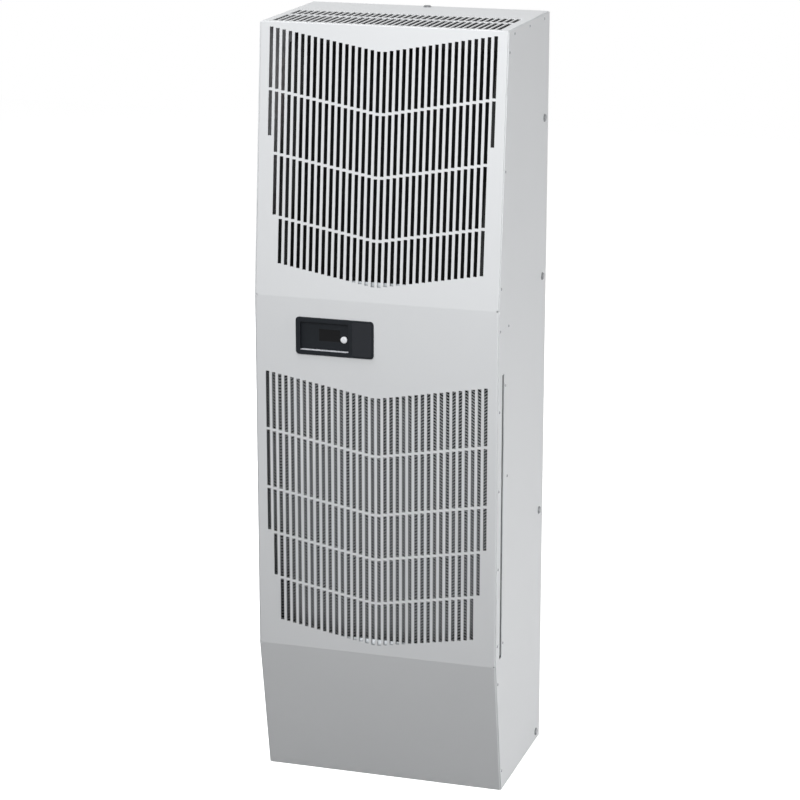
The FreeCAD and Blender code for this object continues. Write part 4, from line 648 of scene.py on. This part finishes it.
class AIRCON_OT_controller(bpy.types.Operator):
    """Build the controller's frame, pad, sill and button, and finish its pane and the black plastic"""
    bl_idname = "aircon.controller"
    bl_label = "Build Controller"

    def execute(self, context):
        sizes = context.scene.aircon_controller
        tones = context.scene.aircon_controller_colours
        black = moulded_plastic("abs_moulded_black", tones.frame, roughness=(0.45, 0.6), specular=0.1)
        dress(black, *in_slots("black_plastic"))
        dress(smoked_acrylic(tones.pane), *in_slots("display"))
        low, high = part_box("controller_bezel")
        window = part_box("controller_module")
        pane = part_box("display_window")
        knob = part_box("mode_button")
        panel_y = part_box("front_panel")[0].y
        outer = (low.x, high.x), (low.z, high.z)
        recess = (window[0].x, window[1].x), (window[0].z, window[1].z)
        self.build_frame(sizes, outer, recess, pane, knob, (low.y, high.y, panel_y), black)
        self.build_pad(sizes, tones, outer, recess, low.y)
        self.build_sill(sizes, tones, recess, low.y, pane[0].y)
        self.build_button(sizes, tones, knob)
        return {"FINISHED"}

    def build_frame(self, sizes, outer, recess, pane, knob, depths, material):
        """A closed moulding: rounded front, recess with pane and button openings, tub behind."""
        front, back, panel = depths
        floor = pane[0].y
        edge_steps = 4
        mesh = bmesh.new()
        skin = [ring(mesh, at(rounded(*outer, sizes.corner), panel))]
        for turn in quarter(edge_steps):
            inset = sizes.edge * (1 - math.cos(turn))
            outline = rounded(*[shrink(span, inset) for span in outer], sizes.corner - inset)
            skin.append(ring(mesh, at(outline, front + sizes.edge * (1 - math.sin(turn)))))
        for turn in quarter(edge_steps):
            grow = sizes.lip * (1 - math.sin(turn))
            outline = rounded(*[shrink(span, -grow) for span in recess], sizes.recess_corner + grow)
            skin.append(ring(mesh, at(outline, front + sizes.lip * (1 - math.cos(turn)))))
        skin.append(ring(mesh, at(rounded(*recess, sizes.recess_corner), floor)))
        bridge(mesh, *skin)
        tub = rounded(*[shrink(span, -sizes.tub_wall) for span in recess], sizes.recess_corner)
        behind = [skin[0], ring(mesh, at(tub, panel)), ring(mesh, at(tub, back))]
        bridge(mesh, *behind)
        centre = (knob[0].x + knob[1].x) / 2, (knob[0].z + knob[1].z) / 2
        cap = (knob[1].x - knob[0].x) / 2 - sizes.flange_lap
        holes = [rounded((pane[0].x, pane[1].x), (pane[0].z, pane[1].z), sizes.pane_corner, steps=2),
                 circle(centre, cap + sizes.button_gap)]
        near = [ring(mesh, at(hole, floor)) for hole in holes]
        far = [ring(mesh, at(hole, back)) for hole in holes]
        for pair in zip(near, far):
            bridge(mesh, *pair)
        fill(mesh, skin[-1], *near)
        fill(mesh, behind[-1], *far)
        piece("controller_frame", mesh, material, "cabinet", "black_plastic", "controller_bezel")

    def build_pad(self, sizes, tones, outer, recess, front):
        """A flat raised pad beside the recess, with a soft edge."""
        x = recess[0][1] + sizes.pad_gap, outer[0][1] - sizes.pad_margin
        z = shrink(outer[1], sizes.pad_margin)
        corner = sizes.corner - sizes.pad_margin
        mesh = bmesh.new()
        loops = []
        for inset, y in ((0, front + sizes.pad_rise), (0, front - sizes.pad_rise + sizes.pad_bevel),
                         (sizes.pad_bevel, front - sizes.pad_rise)):
            outline = rounded(shrink(x, inset), shrink(z, inset), corner - inset)
            loops.append(ring(mesh, at(outline, y)))
        bridge(mesh, *loops)
        fill(mesh, loops[0])
        fill(mesh, loops[-1])
        pad = moulded_plastic("abs_moulded_black_fine", tones.pad, roughness=(0.5, 0.62), specular=0.1)
        piece("controller_pad", mesh, pad, "cabinet", "black_plastic")

    def build_sill(self, sizes, tones, recess, front, floor):
        """A pale strip on the floor of the recess, a painted highlight where that floor catches the light.
        """
        low = recess[1][0]
        outline = rounded(shrink(recess[0], sizes.sill_inset), (low - sizes.sill_sink, low + sizes.sill),
                          sizes.sill_corner, steps=3)
        mesh = bmesh.new()
        loops = [ring(mesh, at(outline, y)) for y in (front + sizes.sill_inset, floor - sizes.sill_gap)]
        bridge(mesh, *loops)
        for loop in loops:
            fill(mesh, loop)
        # the strip's pale plastic is a painted highlight along the floor of the recess
        pale = moulded_plastic("abs_moulded_pale", tones.sill, roughness=(0.35, 0.45), specular=0.5)
        piece("recess_sill", mesh, pale, "cabinet", "black_plastic")

    def build_button(self, sizes, tones, knob):
        """A crowned cap with a rounded rim over a stem and flange."""
        centre = (knob[0].x + knob[1].x) / 2, (knob[0].z + knob[1].z) / 2
        flange = (knob[1].x - knob[0].x) / 2
        cap = flange - sizes.flange_lap
        front, back = knob[0].y, knob[1].y
        crown_steps = 10
        crown = [(cap * math.sin(turn), front + sizes.dome * (1 - math.cos(turn)))
                 for turn in quarter(crown_steps)[1:]]
        seat = back - sizes.flange_thickness
        mesh = bmesh.new()
        loops = [ring(mesh, at(circle(centre, radius), y))
                 for radius, y in crown + [(cap, seat), (flange, seat), (flange, back)]]
        bridge(mesh, *loops[:crown_steps], smooth=True)
        bridge(mesh, *loops[crown_steps - 1:])
        top = mesh.verts.new((centre[0], front, centre[1]))
        for index in range(len(loops[0])):
            mesh.faces.new((top, loops[0][index - 1], loops[0][index])).smooth = True
        fill(mesh, loops[-1])
        white = moulded_plastic("abs_moulded_satin_white", tones.button, roughness=(0.3, 0.4), specular=0.5)
        piece("button_cap", mesh, white, "mode_button", "button", "mode_button")


class AIRCON_OT_stage(bpy.types.Operator):
    """Set the camera, the pale floor, the even light all round and the soft lamps"""
    bl_idname = "aircon.stage"
    bl_label = "Build Stage"

    def execute(self, context):
        settings = context.scene.aircon_stage
        context.scene.view_settings.view_transform = "Standard"
        camera = bpy.data.objects.new("camera", bpy.data.cameras.new("camera"))
        context.scene.collection.objects.link(camera)
        camera.data.lens = settings.lens
        camera.data.sensor_width = settings.sensor
        camera.location = settings.camera_place
        camera.rotation_euler = Vector(settings.camera_aim).to_track_quat("-Z", "Y").to_euler()
        context.scene.camera = camera
        self.build_floor(settings)
        self.build_world(context.scene, settings)
        for name, watts, size, place, aim in LAMPS:
            lamp = bpy.data.objects.new(name, bpy.data.lights.new(name, "AREA"))
            context.scene.collection.objects.link(lamp)
            lamp.data.shape = "RECTANGLE"
            lamp.data.size, lamp.data.size_y = size
            lamp.data.energy = getattr(settings, watts)
            lamp.visible_camera = False
            lamp.location = place
            lamp.rotation_euler = (Vector(aim) - Vector(place)).to_track_quat("-Z", "Y").to_euler()
        return {"FINISHED"}

    def seen(self, tree):
        """1 for rays that show the background: straight from the camera, mirrored or let through."""
        path = add(tree, "LightPath").outputs
        either = add(tree, "Math", {0: path["Is Camera Ray"], 1: path["Is Glossy Ray"]},
                     operation="MAXIMUM").outputs["Value"]
        return add(tree, "Math", {0: either, 1: path["Is Transmission Ray"]},
                   operation="MAXIMUM").outputs["Value"]

    def build_floor(self, settings):
        """A wide pale floor that reads white and still takes the object's shadow."""
        mesh = bmesh.new()
        bmesh.ops.create_grid(mesh, x_segments=8, y_segments=8, size=settings.floor_reach)
        floor = bpy.data.objects.new("floor", bpy.data.meshes.new("floor"))
        mesh.to_mesh(floor.data)
        mesh.free()
        bpy.context.scene.collection.objects.link(floor)
        paint = bpy.data.materials.new("studio_floor_paint")
        paint.use_nodes = True
        tree = paint.node_tree
        tree.nodes.clear()
        lit = add(tree, "BsdfDiffuse", {"Color": settings.floor})
        glow = add(tree, "Emission", {"Strength": settings.floor_glow})
        white = add(tree, "AddShader", {0: lit.outputs["BSDF"], 1: glow.outputs["Emission"]})
        plain = add(tree, "BsdfDiffuse", {"Color": shade(settings.floor, settings.floor_bounce)})
        both = add(tree, "MixShader", {0: self.seen(tree), 1: plain.outputs["BSDF"],
                                       2: white.outputs["Shader"]})
        add(tree, "OutputMaterial", {"Surface": both.outputs["Shader"]})
        floor.data.materials.append(paint)

    def build_world(self, scene, settings):
        """Even light all round, white where it is seen."""
        world = bpy.data.worlds.new("studio")
        world.use_nodes = True
        tree = world.node_tree
        tree.nodes.clear()
        even, white = [add(tree, "Background", {"Color": (1, 1, 1, 1), "Strength": strength})
                       for strength in (settings.ambient, 1.0)]
        both = add(tree, "MixShader", {0: self.seen(tree), 1: even.outputs["Background"],
                                       2: white.outputs["Background"]})
        add(tree, "OutputWorld", {"Surface": both.outputs["Shader"]})
        scene.world = world


STEPS = (AIRCON_OT_cabinet, AIRCON_OT_circuit, AIRCON_OT_coils, AIRCON_OT_filter, AIRCON_OT_controller,
         AIRCON_OT_stage)


class AIRCON_PT_panel(bpy.types.Panel):
    """The steps of the build and the values they use"""
    bl_idname = "AIRCON_PT_panel"
    bl_label = "Enclosure Air Conditioner"
    bl_space_type = "VIEW_3D"
    bl_region_type = "UI"
    bl_category = "Air Conditioner"

    def draw(self, context):
        for step in STEPS:
            self.layout.operator(step.bl_idname)
        for name, group in GROUPS.items():
            box = self.layout.box()
            for value in group.__annotations__:
                box.prop(getattr(context.scene, name), value)


CLASSES = (*GROUPS.values(), *STEPS, AIRCON_PT_panel)


def register():
    for item in CLASSES:
        bpy.utils.register_class(item)
    for name, group in GROUPS.items():
        setattr(bpy.types.Scene, name, PointerProperty(type=group))


def unregister():
    for name in GROUPS:
        delattr(bpy.types.Scene, name)
    for item in reversed(CLASSES):
        bpy.utils.unregister_class(item)


def main():
    """Builds every piece in order."""
    register()
    bpy.ops.aircon.cabinet()
    bpy.ops.aircon.circuit()
    bpy.ops.aircon.coils()
    bpy.ops.aircon.filter()
    bpy.ops.aircon.controller()
    bpy.ops.aircon.stage()


if __name__ == "__main__":
    main()
